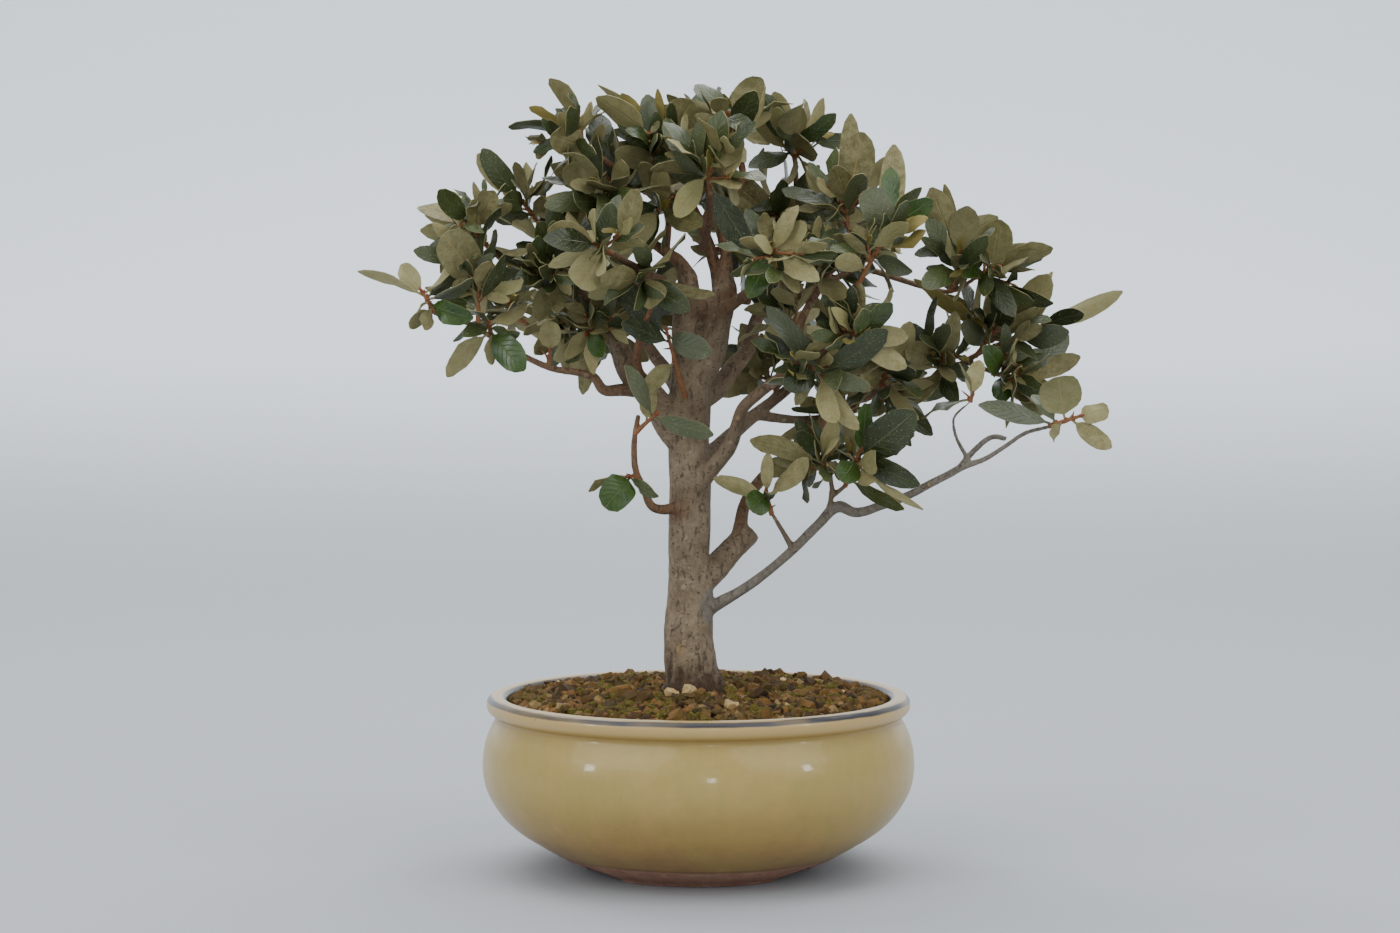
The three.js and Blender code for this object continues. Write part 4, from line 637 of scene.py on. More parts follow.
def specks_group():
    """Round specks of uneven size, scattered unevenly over a surface."""
    tree, recipe, start, end = new_group("Specks", {"Scale": 500.0, "Size": 0.3, "Bareness": 0.4}, "Mask")
    cells = recipe.add("TexVoronoi", {"Vector": start["Vector"], "Scale": start["Scale"]}).outputs
    pick = recipe.add("SeparateColor", {"Color": cells["Color"]}).outputs
    size = recipe.times(start["Size"], recipe.between(pick[0], 0.0, 1.0, 0.35, 1.1))
    soft = recipe.between(recipe.minus(size, cells["Distance"]), 0.0, 0.12)
    shown = recipe.math("GREATER_THAN", pick[1], start["Bareness"])
    tree.links.new(recipe.times(soft, shown), end)
    return tree


def mottle_group():
    """Soft patches of two sizes, from 0 to 1."""
    tree, recipe, start, end = new_group("Mottle", {"Scale": 60.0, "Contrast": 1.0}, "Value")
    wide = recipe.noise(start["Vector"], start["Scale"], 4.0, 0.6)
    fine = recipe.noise(start["Vector"], recipe.times(start["Scale"], 4.3), 3.0, 0.55)
    both = recipe.plus(recipe.times(wide, 0.65), recipe.times(fine, 0.35))
    away = recipe.times(recipe.minus(both, 0.5), start["Contrast"])
    tree.links.new(recipe.math("ADD", recipe.times(away, 2.0), 0.5, clamp=True), end)
    return tree


class Finishes:
    """The shader groups and materials, each made when it is first asked for."""

    def __init__(self):
        self.specks = specks_group()
        self.mottle = mottle_group()
        self.made = {}

    def get(self, name):
        if name not in self.made:
            material = bpy.data.materials.new(name)
            material.use_nodes = True
            recipe = Recipe(material.node_tree)
            shader = self.plain(recipe, name) if name in PLAIN_FINISHES else getattr(self, name)(recipe)
            recipe.add("OutputMaterial", {"Surface": shader.outputs["BSDF"]})
            self.made[name] = material
        return self.made[name]

    def patches(self, recipe, vector, scale, contrast):
        inputs = {"Vector": vector, "Scale": scale, "Contrast": contrast}
        return recipe.add("Group", inputs, node_tree=self.mottle).outputs["Value"]

    def dots(self, recipe, vector, scale, size, bareness):
        inputs = {"Vector": vector, "Scale": scale, "Size": size, "Bareness": bareness}
        return recipe.add("Group", inputs, node_tree=self.specks).outputs["Mask"]

    def plain(self, recipe, name):
        """One colour range in fine patches."""
        ramp, scale, contrast, rough, relief, depth = PLAIN_FINISHES[name]
        fine = self.patches(recipe, recipe.place(), scale, contrast)
        return recipe.surface(recipe.ramp(fine, ramp), rough, fine, relief, depth)

    def bark(self, recipe):
        """Smooth grey-brown bark with dark pores, pale scaling and a damp foot, and painted shade high under
        the crown drawn in the rusty scurf colour.
        """
        place = recipe.place()
        girth, damp, rust_and_shade, cut = (recipe.attribute(name) for name in ("girth", "damp", "rust_and_shade", "cut"))
        fine = self.patches(recipe, place, 420.0, 1.5)
        # Rusty scurf on the young limbs, and painted shade high under the crown, both drawn in the scurf
        # colour through the rust attribute
        young = recipe.blend(rust_and_shade, recipe.ramp(fine, "young_bark"), recipe.ramp(fine, "scurf"))
        old = recipe.ramp(self.patches(recipe, place, 55.0, 1.6), "bark")
        colour = recipe.blend(recipe.between(girth, 0.2, 0.62), young, old)
        pores = self.dots(recipe, recipe.drawn_out(place, 2.4), 330.0, 0.30, 0.45)
        colour = recipe.tint(colour, pores, "pores")
        scales = self.dots(recipe, place, 210.0, 0.42, 0.70)
        colour = recipe.tint(colour, scales, "pale_scales")
        cracks = recipe.noise(recipe.drawn_out(place, 0.35), 420.0, 6.0, 0.62, 0.5)
        cracks = recipe.between(cracks, 0.56, 0.66)
        colour = recipe.tint(colour, cracks, "cracks")
        colour = recipe.tint(colour, fine, "dull_bark")
        slim = recipe.between(girth, 0.45, 0.65, 0.85, 0.0)
        pale = recipe.times(slim, recipe.between(rust_and_shade, -0.6, -0.1, 1.0, 0.0))
        colour = recipe.blend(pale, colour, recipe.ramp(fine, "ashen_bark"))
        colour = recipe.blend(cut, colour, recipe.ramp(fine, "cut_wood"))
        ragged = recipe.noise(recipe.drawn_out(place, 0.3), 160.0, 4.0)
        ragged = recipe.times(recipe.minus(ragged, 0.5), 1.6)
        wetness = recipe.between(recipe.plus(damp, ragged), 0.30, 0.80)
        wetness = recipe.times(wetness, recipe.between(damp, 0.0, 0.3))
        colour = recipe.blend(wetness, colour, recipe.ramp(fine, "wet_bark"))
        height = recipe.plus(recipe.times(fine, 0.6), recipe.times(scales, 0.4))
        height = recipe.minus(height, recipe.times(pores, 0.9))
        height = recipe.minus(height, recipe.times(cracks, 0.7))
        return recipe.surface(colour, recipe.between(fine, 0.0, 1.0, 0.62, 0.85), height, 0.9, 0.0013)

    def shoot_bark(self, recipe):
        """Rusty scurf on a young shoot."""
        place = recipe.place()
        fine = self.patches(recipe, place, 900.0, 1.6)
        colour = recipe.ramp(self.patches(recipe, place, 120.0, 1.6), "shoot")
        return recipe.surface(recipe.tint(colour, fine, "shoot_scurf"), 0.75, fine, 0.5, 0.0005)

    def veins(self, recipe):
        """Masks of the midrib and of the side veins, on a blade's own map."""
        blade = recipe.add("UVMap", uv_map="blade").outputs["UV"]
        across, along, _ = recipe.add("SeparateXYZ", {0: blade}).outputs
        off = recipe.size(recipe.minus(across, 0.5))
        wander = recipe.times(recipe.noise(recipe.place(), 130.0, 2.0), 0.5)
        course = recipe.plus(recipe.times(along, 8.0), wander)
        course = recipe.math("FRACT", recipe.minus(course, recipe.times(off, 4.2)))
        side = recipe.between(recipe.size(recipe.minus(course, 0.5)), 0.0, 0.10, 1.0, 0.0)
        inner = recipe.between(off, 0.36, 0.47, 1.0, 0.0)
        return recipe.between(off, 0.008, 0.034, 1.0, 0.0), recipe.times(side, inner)

    def leaf_kind(self, recipe):
        """How bright green, how young and how grey a leaf is, and its own tone."""
        kind = recipe.add("Attribute", attribute_name="leaf_kind").outputs
        bright, young, grey = recipe.add("SeparateColor", {"Color": kind["Color"]}).outputs
        return bright, young, grey, kind["Alpha"]

    def leaf_upper(self, recipe):
        """Dark, glossy upper side with fine silvery scales, paler along the midrib."""
        place = recipe.place()
        bright, young, grey, tone = self.leaf_kind(recipe)
        midrib, side = self.veins(recipe)
        broad = self.patches(recipe, place, 95.0, 1.4)
        colour = recipe.tint(recipe.ramp(tone, "leaf"), broad, "leaf_bloom")
        colour = recipe.blend(bright, colour, recipe.ramp(broad, "bright_leaf"))
        colour = recipe.blend(grey, colour, recipe.ramp(tone, "grey_leaf"))
        colour = recipe.blend(young, colour, recipe.ramp(tone, "young_leaf"))
        scales = self.dots(recipe, place, 820.0, 0.28, 0.2)
        scaly = recipe.times(scales, recipe.between(bright, 0.0, 1.0, 0.62, 0.26))
        for mask, name in ((scaly, "leaf_scales"), (side, "leaf_veins"), (midrib, "leaf_midrib")):
            colour = recipe.tint(colour, mask, name)
        height = recipe.minus(recipe.times(scales, 0.35), recipe.plus(midrib, side))
        rough = recipe.between(broad, 0.0, 1.0, 0.27, 0.42)
        return recipe.surface(colour, rough, height, 0.55, 0.0007, {"Specular IOR Level": 0.5})

    def leaf_under(self, recipe):
        """Matt, silvery tan underside with brown scales and a raised midrib."""
        place = recipe.place()
        bright, young, grey, tone = self.leaf_kind(recipe)
        midrib, side = self.veins(recipe)
        broad = self.patches(recipe, place, 110.0, 1.3)
        mottled = self.patches(recipe, place, 190.0, 2.6)
        scales = self.dots(recipe, place, 1000.0, 0.28, 0.72)
        colour = recipe.ramp(tone, "underside")
        for mask, name in ((broad, "olive"), (mottled, "silver"), (bright, "bright"), (young, "young"),
                           (grey, "grey"), (scales, "scales"), (side, "veins"), (midrib, "midrib")):
            colour = recipe.tint(colour, mask, "under_" + name)
        height = recipe.plus(midrib, recipe.times(side, 0.4))
        height = recipe.plus(height, recipe.times(scales, 0.2))
        return recipe.surface(colour, 0.62, height, 0.5, 0.0007, {"Specular IOR Level": 0.35})

    def glaze(self, recipe):
        """Cream-olive glaze, grey-blue along the lip, with a painted shade ring along the lip's inner edge,
        over mauve-brown clay on the foot and inside.
        """
        size = bpy.context.scene.bonsai_pot
        from_axis = {"Vector": recipe.place(), "Location": tuple(-c for c in POT_AXIS)}
        local = recipe.add("Mapping", from_axis).outputs[0]
        x, y, z = recipe.add("SeparateXYZ", {0: local}).outputs
        radius = recipe.math("SQRT", recipe.plus(recipe.times(x, x), recipe.times(y, y)))
        cloud = self.patches(recipe, local, 14.0, 1.8)
        belly, low = (tuple(part) + (1,) for part in (size.glaze_colour, size.foot_glaze_colour))
        colour = recipe.blend(recipe.between(z, *DARK_BELLY, 1.0, 0.0), belly, low)
        colour = recipe.tint(colour, cloud, "glaze_clouds")
        runs = self.patches(recipe, recipe.drawn_out(local, 0.22), 42.0, 1.7)
        colour = recipe.tint(colour, runs, "glaze_runs")
        colour = recipe.tint(colour, self.patches(recipe, local, 150.0, 1.3), "glaze_grain")
        lip = recipe.times(recipe.between(z, *LIP_HEIGHTS), recipe.between(radius, *LIP_RADII))
        groove = recipe.times(recipe.between(z, *GROOVE_LOW), recipe.between(z, *GROOVE_HIGH))
        colour = recipe.tint(recipe.tint(colour, lip, "lip"), groove, "groove")
        colour = recipe.tint(colour, self.dots(recipe, local, 140.0, 0.13, 0.76), "pinholes")
        uneven = recipe.times(recipe.minus(recipe.noise(local, 30.0, 4.0), 0.5), 0.0016)
        level = recipe.plus(z, uneven)
        line = recipe.times(recipe.between(level, *OUTER_LINE_LOW), recipe.between(level, *OUTER_LINE_HIGH))
        line = recipe.times(line, recipe.between(radius, *OUTER_LINE_RADII))
        line = recipe.times(line, recipe.between(recipe.noise(local, 26.0, 2.0), 0.3, 0.6, 0.72, 1.0))
        colour = recipe.tint(colour, line, "outer_line")
        # Painted shade: a dark grey ring along the lip's inner edge, where the inner wall is in shade
        ring = recipe.size(recipe.minus(radius, INNER_SHADE_RADIUS))
        line = recipe.times(recipe.between(ring, *INNER_SHADE_EDGE, 1.0, 0.0),
                            recipe.between(level, *INNER_SHADE_LOW))
        colour = recipe.tint(colour, line, "painted_inner_shade")
        edge = recipe.plus(z, recipe.times(uneven, 1.4))
        glazed = recipe.between(edge, GLAZE_EDGE * MM, (GLAZE_EDGE + 0.5) * MM)
        within = recipe.between(z, *BARE_INSIDE_HEIGHTS)
        within = recipe.times(within, recipe.between(radius, *BARE_INSIDE_RADII))
        hollow = recipe.times(within, recipe.attribute("inside"))
        glazed = recipe.math("SUBTRACT", glazed, hollow, clamp=True)
        rough = self.patches(recipe, local, 700.0, 1.4)
        clay = recipe.tint(recipe.ramp(self.patches(recipe, local, 60.0, 1.5), "clay"), rough, "clay_grit")
        pooled = recipe.between(edge, (GLAZE_EDGE + 0.3) * MM, (GLAZE_EDGE + 3) * MM, 1.0, 0.0)
        colour = recipe.blend(glazed, clay, recipe.tint(colour, pooled, "pooled_glaze"))
        height = recipe.plus(recipe.times(cloud, 0.25), recipe.times(rough, 0.10))
        coat = {"Coat Weight": recipe.times(glazed, 0.3), "Coat Roughness": 0.08, "Specular IOR Level": 0.36}
        return recipe.surface(colour, recipe.between(glazed, 0.0, 1.0, 0.85, 0.36), height, 0.09, 0.002, coat)

    def granule(self, recipe):
        """Fired clay granules from ochre to dark brown, each in its own tone."""
        place = recipe.place()
        tone = recipe.attribute("tone")
        fine = self.patches(recipe, place, 900.0, 1.6)
        colour = recipe.tint(recipe.ramp(tone, "granule"), recipe.between(tone, 0.90, 0.94), "pale_granule")
        mossy = recipe.between(self.patches(recipe, place, 34.0, 1.8), 0.42, 0.75)
        colour = recipe.tint(recipe.tint(colour, mossy, "mossy"), fine, "granule_grit")
        return recipe.surface(colour, 0.9, fine, 0.6, 0.0006)

    def backdrop(self, recipe):
        """Pale floor and wall, with painted shade on the floor giving way to painted light up the wall."""
        height = recipe.add("SeparateXYZ", {0: recipe.place()}).outputs[2]
        # Painted shade and light: darker low down, lighter up the wall
        colour = recipe.ramp(recipe.between(height, 0.0, 0.32), "backdrop")
        return recipe.add("BsdfPrincipled", {"Base Color": colour, "Roughness": 0.95})


MADE = []


def finish(name):
    """A material by its name, with the shader groups it needs."""
    if not MADE:
        MADE.append(Finishes())
    return MADE[0].get(name)


# Making meshes


def nothing_selected():
    if bpy.context.object and bpy.context.object.mode != "OBJECT":
        bpy.ops.object.mode_set(mode="OBJECT")
    bpy.ops.object.select_all(action="DESELECT")


def active(obj):
    nothing_selected()
    obj.select_set(True)
    bpy.context.view_layer.objects.active = obj


def apply_modifier(obj, kind, **settings):
    active(obj)
    modifier = obj.modifiers.new(kind.title(), kind)
    for name, value in settings.items():
        setattr(modifier, name, value)
    bpy.ops.object.modifier_apply(modifier=modifier.name)


def give_finishes(obj, *names):
    for name in names:
        obj.data.materials.append(finish(name))


def set_values(mesh, name, values):
    """A number for each vertex, which a material reads by its name."""
    attribute = mesh.attributes.new(name, "FLOAT", "POINT")
    attribute.data.foreach_set("value", np.asarray(values, dtype=np.float32))


def placed(name, data):
    """A new object in the scene."""
    obj = bpy.data.objects.new(name, data)
    bpy.context.scene.collection.objects.link(obj)
    return obj


def piece_of(name, verts, faces):
    """A new object from vertices in metres in the row frame."""
    mesh = bpy.data.meshes.new(name)
    mesh.from_pydata([tuple(v) for v in verts], [], faces)
    mesh.update()
    return placed(name, mesh)


def smooth_by(obj, degrees):
    active(obj)
    bpy.ops.object.shade_smooth_by_angle(angle=math.radians(degrees))


def finished(obj, slot, *nodes):
    """The piece rides on the part's one body and stands for the CAD nodes."""
    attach(obj, "root")
    if nodes:
        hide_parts(*nodes)


def smooth_way(points, radii, steps):
    """A rounded way through unevenly spaced points, with its radii."""
    lengths = [max((b - a).length, 0.001) for a, b in zip(points, points[1:])]
    chords = [(b - a) / length for a, b, length in zip(points, points[1:], lengths)]
    courses = [chords[0]]
    for before, after, here, there in zip(lengths, lengths[1:], chords, chords[1:]):
        courses.append((here * after + there * before) / (before + after))
    courses.append(chords[-1])
    out = []
    for i, length in enumerate(lengths):
        for k in range(steps):
            t = k / steps
            rise = t * t * (3 - 2 * t)
            place = points[i].lerp(points[i + 1], rise) + courses[i] * (length * t * (1 - t) ** 2)
            place = place - courses[i + 1] * (length * t * t * (1 - t))
            out.append((place, radii[i] + (radii[i + 1] - radii[i]) * rise))
    out.append((points[-1], radii[-1]))
    return out


# Wood


# How thick a limb of this radius in mm is drawn: (radius, share)
THIN_LIMB, THICK_LIMB = (2.0, 0.84), (9.0, 0.97)
LIMB_STEPS = 5
# Limbs with rusty scurf on their bark, as a share, and ashen ones below zero
RUSTY_LIMBS = {"left_stem": 0.75, "right_stem": 0.9, "bridge": 0.7, "leader": 1.0, "top_left_stem": 0.9,
               "stump_right": 0.7, "left_limb": 0.35, "left_upper": 0.9, "left_riser": 0.9, "trunk_riser": 0.7,
               "thick_right_regrowth": 0.8, "left_lower": 0.6, "low_right": -0.8, "low_right_fork": -0.8,
               "low_right_twig": -0.5, "low_riser_two": -0.3, "thick_right": -0.2}
OTHER_RUST = 0.1
# Limbs drawn slimmer or fuller than their solids, as the photograph shows them
LIMB_FULLNESS = {"trunk_riser": 0.78, "low_right_twig": 0.9, "left_lower": 0.86, "left_upper": 0.9,
                 "bridge": 1.14, "left_stem": 1.04, "right_stem": 1.04}
# Heights in mm between which the bark is damp, and between which a painted shade rises on the limbs high under
# the crown, with how strong that painted shade is at the top; it is drawn in the scurf colour
DAMP_FROM, DAMP_TO = 140.0, 104.0
CROWN_SHADE_FROM, CROWN_SHADE_RISE, CROWN_SHADE_TOP = 250.0, 70.0, 0.6
FULL_GIRTH = 13.0
NEAREST = 6
FACES_KEPT = 0.76
CUT_STUBS = ("knot_", "stump_right")
CUT_LIMB = "thick_right"
CUT_DEPTH, CUT_REACH = -1.8, 0.9
LEAST_SWELLING = 0.02
KNOT_LEAN = 0.35
KNOT_FOOT, KNOT_NECK, KNOT_NECK_PLACE, KNOT_END = 0.9, 0.62, 0.8, 0.5


def limb_ways():
    """Every limb as (name, [(place in mm, radius in mm)...])."""
    ways = []
    for name, way in LIMBS:
        full = LIMB_FULLNESS.get(name, 1.0)
        radii = [row[3] * full * float(np.interp(row[3], *zip(THIN_LIMB, THICK_LIMB))) for row in way]
        ways.append((name, smooth_way([seen(row[:3]) for row in way], radii, LIMB_STEPS)))
    return ways


def limb_curves(ways):
    """One curve object with a spline for each limb, as thick as the limb at each point."""
    curve = bpy.data.curves.new("wood", "CURVE")
    curve.dimensions = "3D"
    curve.bevel_depth = MM
    curve.bevel_resolution = 6
    curve.use_fill_caps = True
    for _, way in ways:
        spline = curve.splines.new("POLY")
        spline.points.add(len(way) - 1)
        for point, (place, radius) in zip(spline.points, way):
            point.co = (*to_row(place), 1)
            point.radius = radius
    return placed("wood_grown", curve)


def lumps(name, size):
    texture = bpy.data.textures.new(name, "CLOUDS")
    texture.noise_scale = size
    texture.noise_depth = 3
    return texture


def nearest_limb(obj, ways):
    """For each vertex, the radius of the limb it is on and how rusty that limb is."""
    rows = [(place, radius, RUSTY_LIMBS.get(name, OTHER_RUST)) for name, way in ways for place, radius in way]
    tree = tree_of([to_row(place) for place, _, _ in rows])
    found = [[rows[i][1:] for _, i, _ in tree.find_n(v.co, NEAREST)] for v in obj.data.vertices]
    return np.array(found).mean(axis=1).T


def cut_ends(obj, ways):
    """For each vertex, whether it is on the cut face at the end of a stub."""
    places = np.array([tuple(v.co) for v in obj.data.vertices])
    cut = np.zeros(len(places))
    for name, way in ways:
        if name != CUT_LIMB and not name.startswith(CUT_STUBS):
            continue
        end, radius = way[-1]
        along = np.array(end - way[-2][0])
        along /= np.linalg.norm(along)
        away = (places - np.array(to_row(end))) / MM
        depth = away @ along
        aside = np.linalg.norm(away - np.outer(depth, along), axis=1)
        cut = np.maximum(cut, (depth > CUT_DEPTH) & (aside < radius * CUT_REACH))
    return cut


def knot_ways(ways):
    """Short swollen stubs where shoots were cut off, as extra ways."""
    more = []
    for k, (name, share, turn, size, long) in enumerate(KNOTS):
        way = dict(ways)[name]
        i = min(int(share * (len(way) - 1)), len(way) - 2)
        place, radius = way[i]
        radius *= size
        along = (way[i + 1][0] - place).normalized()
        aside = along.cross(TO_EYE).normalized()
        out = (turned(aside, along, math.radians(turn)) + along * KNOT_LEAN).normalized()
        neck = place + out * (radius * KNOT_NECK_PLACE)
        end = place + out * (radius + long)
        way = [(place, radius * KNOT_FOOT), (neck, radius * KNOT_NECK), (end, radius * KNOT_END)]
        more.append((f"knot_{k}", way))
    return more


def swell_bark(obj, girth):
    """Low swellings and ridges, the higher the thicker the limb."""
    for name, size, strength, low, high in BARK_LUMPS:
        group = obj.vertex_groups.new(name=name)
        for index, weight in enumerate(np.clip((girth - low) / (high - low), 0.0, 1.0)):
            if weight > LEAST_SWELLING:
                group.add([index], float(weight), "REPLACE")
        apply_modifier(obj, "DISPLACE", texture=lumps(name, size), texture_coords="LOCAL", mid_level=0.5,
                       strength=strength * MM, vertex_group=name)
    obj.vertex_groups.clear()


def build_wood(settings):
    ways = limb_ways()
    ways += knot_ways(ways)
    active(limb_curves(ways))
    bpy.ops.object.convert(target="MESH")
    obj = bpy.context.object
    apply_modifier(obj, "REMESH", mode="VOXEL", voxel_size=settings.grain * MM, use_smooth_shade=True)
    apply_modifier(obj, "SMOOTH", factor=0.5, iterations=4)
    apply_modifier(obj, "DECIMATE", ratio=FACES_KEPT)
    girth, rust_and_shade = nearest_limb(obj, ways)
    cut = cut_ends(obj, ways)
    swell_bark(obj, girth)
    height = (np.array([v.co.z for v in obj.data.vertices]) - POT_AXIS.z) / MM
    # Painted shade: above this height the limbs under the crown are drawn rustier and darker, in the scurf
    # colour
    crown_shade = CROWN_SHADE_TOP * np.clip((height - CROWN_SHADE_FROM) / CROWN_SHADE_RISE, 0.0, 1.0)
    set_values(obj.data, "girth", np.clip(girth / FULL_GIRTH, 0.0, 1.0))
    set_values(obj.data, "damp", np.clip((DAMP_FROM - height) / (DAMP_FROM - DAMP_TO), 0.0, 1.0))
    set_values(obj.data, "rust_and_shade", np.where(rust_and_shade < 0.0, rust_and_shade, np.maximum(rust_and_shade, crown_shade)))
    set_values(obj.data, "cut", cut)
    give_finishes(obj, "bark")
    bpy.ops.object.shade_smooth()
    finished(obj, "bark", "wood")


# Leafy shoots


# Rows of a blade from its root to its tip: (place, share of the half width), for large leaves and for small
LARGE_BLADE = [(0.0, 0.0), (0.12, 0.0), (0.22, 0.56), (0.34, 0.86), (0.48, 0.99), (0.62, 0.98), (0.78, 0.85),
               (0.91, 0.58), (1.0, 0.12)]
SMALL_BLADE = [(0.0, 0.0), (0.13, 0.0), (0.28, 0.74), (0.48, 1.0), (0.71, 0.92), (0.89, 0.63), (1.0, 0.12)]
# A blade wider than this share of its length is round, and blunter at both ends
ROUND_BLADE = 0.66
BLUNTNESS = 0.62
BLADE_COLUMNS = 4
PETIOLE_HALF, PETIOLE_THICK = 0.6, 1.1
BLADE_THICK, MIDRIB_THICK, MIDRIB_FADE = 0.42, 0.35, 1.2
OUTER_BLADE = 0.3
# Long waves and short ripples of the edge: how often along the blade, and how far the left side's are shifted
WAVES, WAVE_SHIFT = 9.4, 2
RIPPLE, RIPPLES, RIPPLE_PHASE, RIPPLE_SHIFT = 0.45, 17, 3, 1
EXTRA_TRIES, EXTRA_SEED = 10, 80
EXTRA_LEAN, EXTRA_RISE, EXTRA_ROLL = (0.3, 1.5, 1), 0.15, 5.0
EXTRA_LENGTH, EXTRA_WIDTH = (0.8, 0.4, 2), (0.26, 0.18, 3)
EXTRA_SIZE = (0.55, 0.5, 40)
YOUNG_SIZE, EACH_YOUNG, YOUNG_GREEN = 0.34, 5, 0.45
SIDE_SEED, SIDE_SEED_STEP = 30000, 40
SIDE_PLACE, SIDE_LENGTH, SIDE_LEAVES_LONG = (0.2, 0.65, 70), (8, 14, 72), 0.9
SIDE_TWIG_RADII = (1.0, 0.7)
# Shoots that stand apart and bear only their measured leaves
BARE_SHOOTS = ("far_left", "left_node", "left_lower_mid", "low_right_end", "low_right_mid", "low_one",
               "trunk_shoot", "riser_tip", "riser_low", "right_far")
# Shoots in front of the limbs, with one side twig only, so that the wood shows between them
OPEN_SHOOTS = ("front_left", "front_left_mid", "left_crown", "left_limb_mid", "low_centre", "top_left_low")
TWIG_RADII = (1.7, 1.0)
TWIG_SIDES, TWIG_STEPS, TWIG_KINK = 7, 9, 0.35
# Outlines of a bud and of a thorn: (place along it, share of its thickness)
BUD_OUTLINE = [(0.0, 0.55), (0.25, 0.95), (0.5, 1.0), (0.78, 0.62), (1.0, 0.12)]
THORN_OUTLINE = [(0.0, 0.85), (0.35, 0.62), (0.75, 0.4), (1.0, 0.12)]
# Tip bud and leaf buds: (length, thickness, sides)
TIP_BUD, LEAF_BUD = (4.5, 1.25, 6), (2.4, 0.85, 5)
THORN_PLACE, THORN_LENGTH, THORN_SIDES = (0.2, 0.6, 51), (4, 5, 53), 5
SMOOTH_UNDER = 50
UPPER, UNDER, TWIG, BUD = 0, 1, 2, 3
# How bright, young and grey a leaf of each age is; a dark leaf is none of these and gets the darkest tone, on
# right_top as painted shade
AGES = {"bright": (1, 0, 0), "young": (0, 1, 0), "grey": (0, 0, 1), "dark": (0, 0, 0)}
DARK_TONE = 0.1
SOME_BRIGHT, BRIGHT_FROM, SOME_GREY, GREY_FROM = 0.35, 0.9, 0.8, 0.55


class BladeForm:
    """One blade, modelled flat, that every leaf of its size is a bent copy of."""

    def __init__(self, blade_rows):
        self.blade_rows = blade_rows
        nothing_selected()
        rows = len(blade_rows) - 1
        bpy.ops.mesh.primitive_grid_add(x_subdivisions=BLADE_COLUMNS, y_subdivisions=rows, size=1)
        obj = bpy.context.object
        apply_modifier(obj, "SOLIDIFY", thickness=0.01, offset=0.0)
        mesh = obj.data
        self.points = [(round((v.co.y + 0.5) * rows), v.co.x * 2, 1 if v.co.z > 0 else -1)
                       for v in mesh.vertices]
        self.faces = [tuple(p.vertices) for p in mesh.polygons]
        self.sides = [UPPER if all(self.points[v][2] > 0 for v in face) else UNDER for face in self.faces]
        self.outer = [f for f in self.faces if all(blade_rows[self.points[v][0]][0] > OUTER_BLADE for v in f)]
        bpy.data.objects.remove(obj)
        bpy.data.meshes.remove(mesh)


def shape_blade(leaf):
    """The vertices of one leaf, in millimetres round the pot's axis."""
    blunt = BLUNTNESS if leaf.width > ROUND_BLADE * leaf.length else 1.0
    verts = []
    for row, s, side in leaf.form.points:
        t, share = leaf.form.blade_rows[row]
        share = share ** blunt
        left = 1 if s < 0 else 0
        half = max(share * leaf.width / 2, PETIOLE_HALF)
        lift = leaf.fold * abs(s) * half * share
        lift += leaf.wave * s * s * share * math.sin(WAVES * t + leaf.phase + WAVE_SHIFT * left)
        short = math.sin(RIPPLES * t + RIPPLE_PHASE * leaf.phase + RIPPLE_SHIFT * left)
        lift += RIPPLE * leaf.wave * abs(s) ** 3 * share * short
        lift -= leaf.curl * s * s * half * share
        midrib = MIDRIB_THICK * (1 - abs(s)) ** 2 * (MIDRIB_FADE - t)
        thick = BLADE_THICK + midrib if share else PETIOLE_THICK
        rise = leaf.arch * leaf.length * 4 * t * (1 - t) + lift + side * thick / 2
        verts.append(leaf.root.lerp(leaf.tip, t) + leaf.normal * rise + leaf.aside * (s * half))
    return verts


def tube(way, sides):
    """A closed tapering tube along (place, radius) points."""
    verts, faces = [], []
    last = len(way) - 1
    across = None
    for i, (place, radius) in enumerate(way):
        along = (way[min(i + 1, last)][0] - way[max(i - 1, 0)][0]).normalized()
        if across is None:
            across = along.orthogonal().normalized()
        across = (across - along * across.dot(along)).normalized()
        aside = along.cross(across)
        for k in range(sides):
            angle = 2 * math.pi * k / sides
            verts.append(place + across * (math.cos(angle) * radius) + aside * (math.sin(angle) * radius))
    for i in range(last):
        for k in range(sides):
            a, b = i * sides + k, i * sides + (k + 1) % sides
            faces.append((a, b, b + sides, a + sides))
    faces.append(tuple(reversed(range(sides))))
    faces.append(tuple(last * sides + k for k in range(sides)))
    return verts, faces


def twig_way(shoot):
    """From a shoot's foot to its tip, tapering, a little uneven in thickness and kinked from step to step."""
    way = []
    aside = shoot.side.cross(shoot.along)
    for i in range(TWIG_STEPS + 1):
        t = i / TWIG_STEPS
        kink = TWIG_KINK * math.sin(math.pi * t)
        place = shoot.foot.lerp(shoot.tip, t) + shoot.side * (kink * spread(shoot.seed, i, 60))
        place = place + aside * (kink * spread(shoot.seed, i, 61))
        radius = TWIG_RADII[0] + (TWIG_RADII[1] - TWIG_RADII[0]) * t
        way.append((place, radius * varied(shoot.seed, 0.9, 0.2, 62, i)))
    return way


def outline_way(outline, place, along, long, thick):
    return [(place + along * (long * t), thick * share) for t, share in outline]


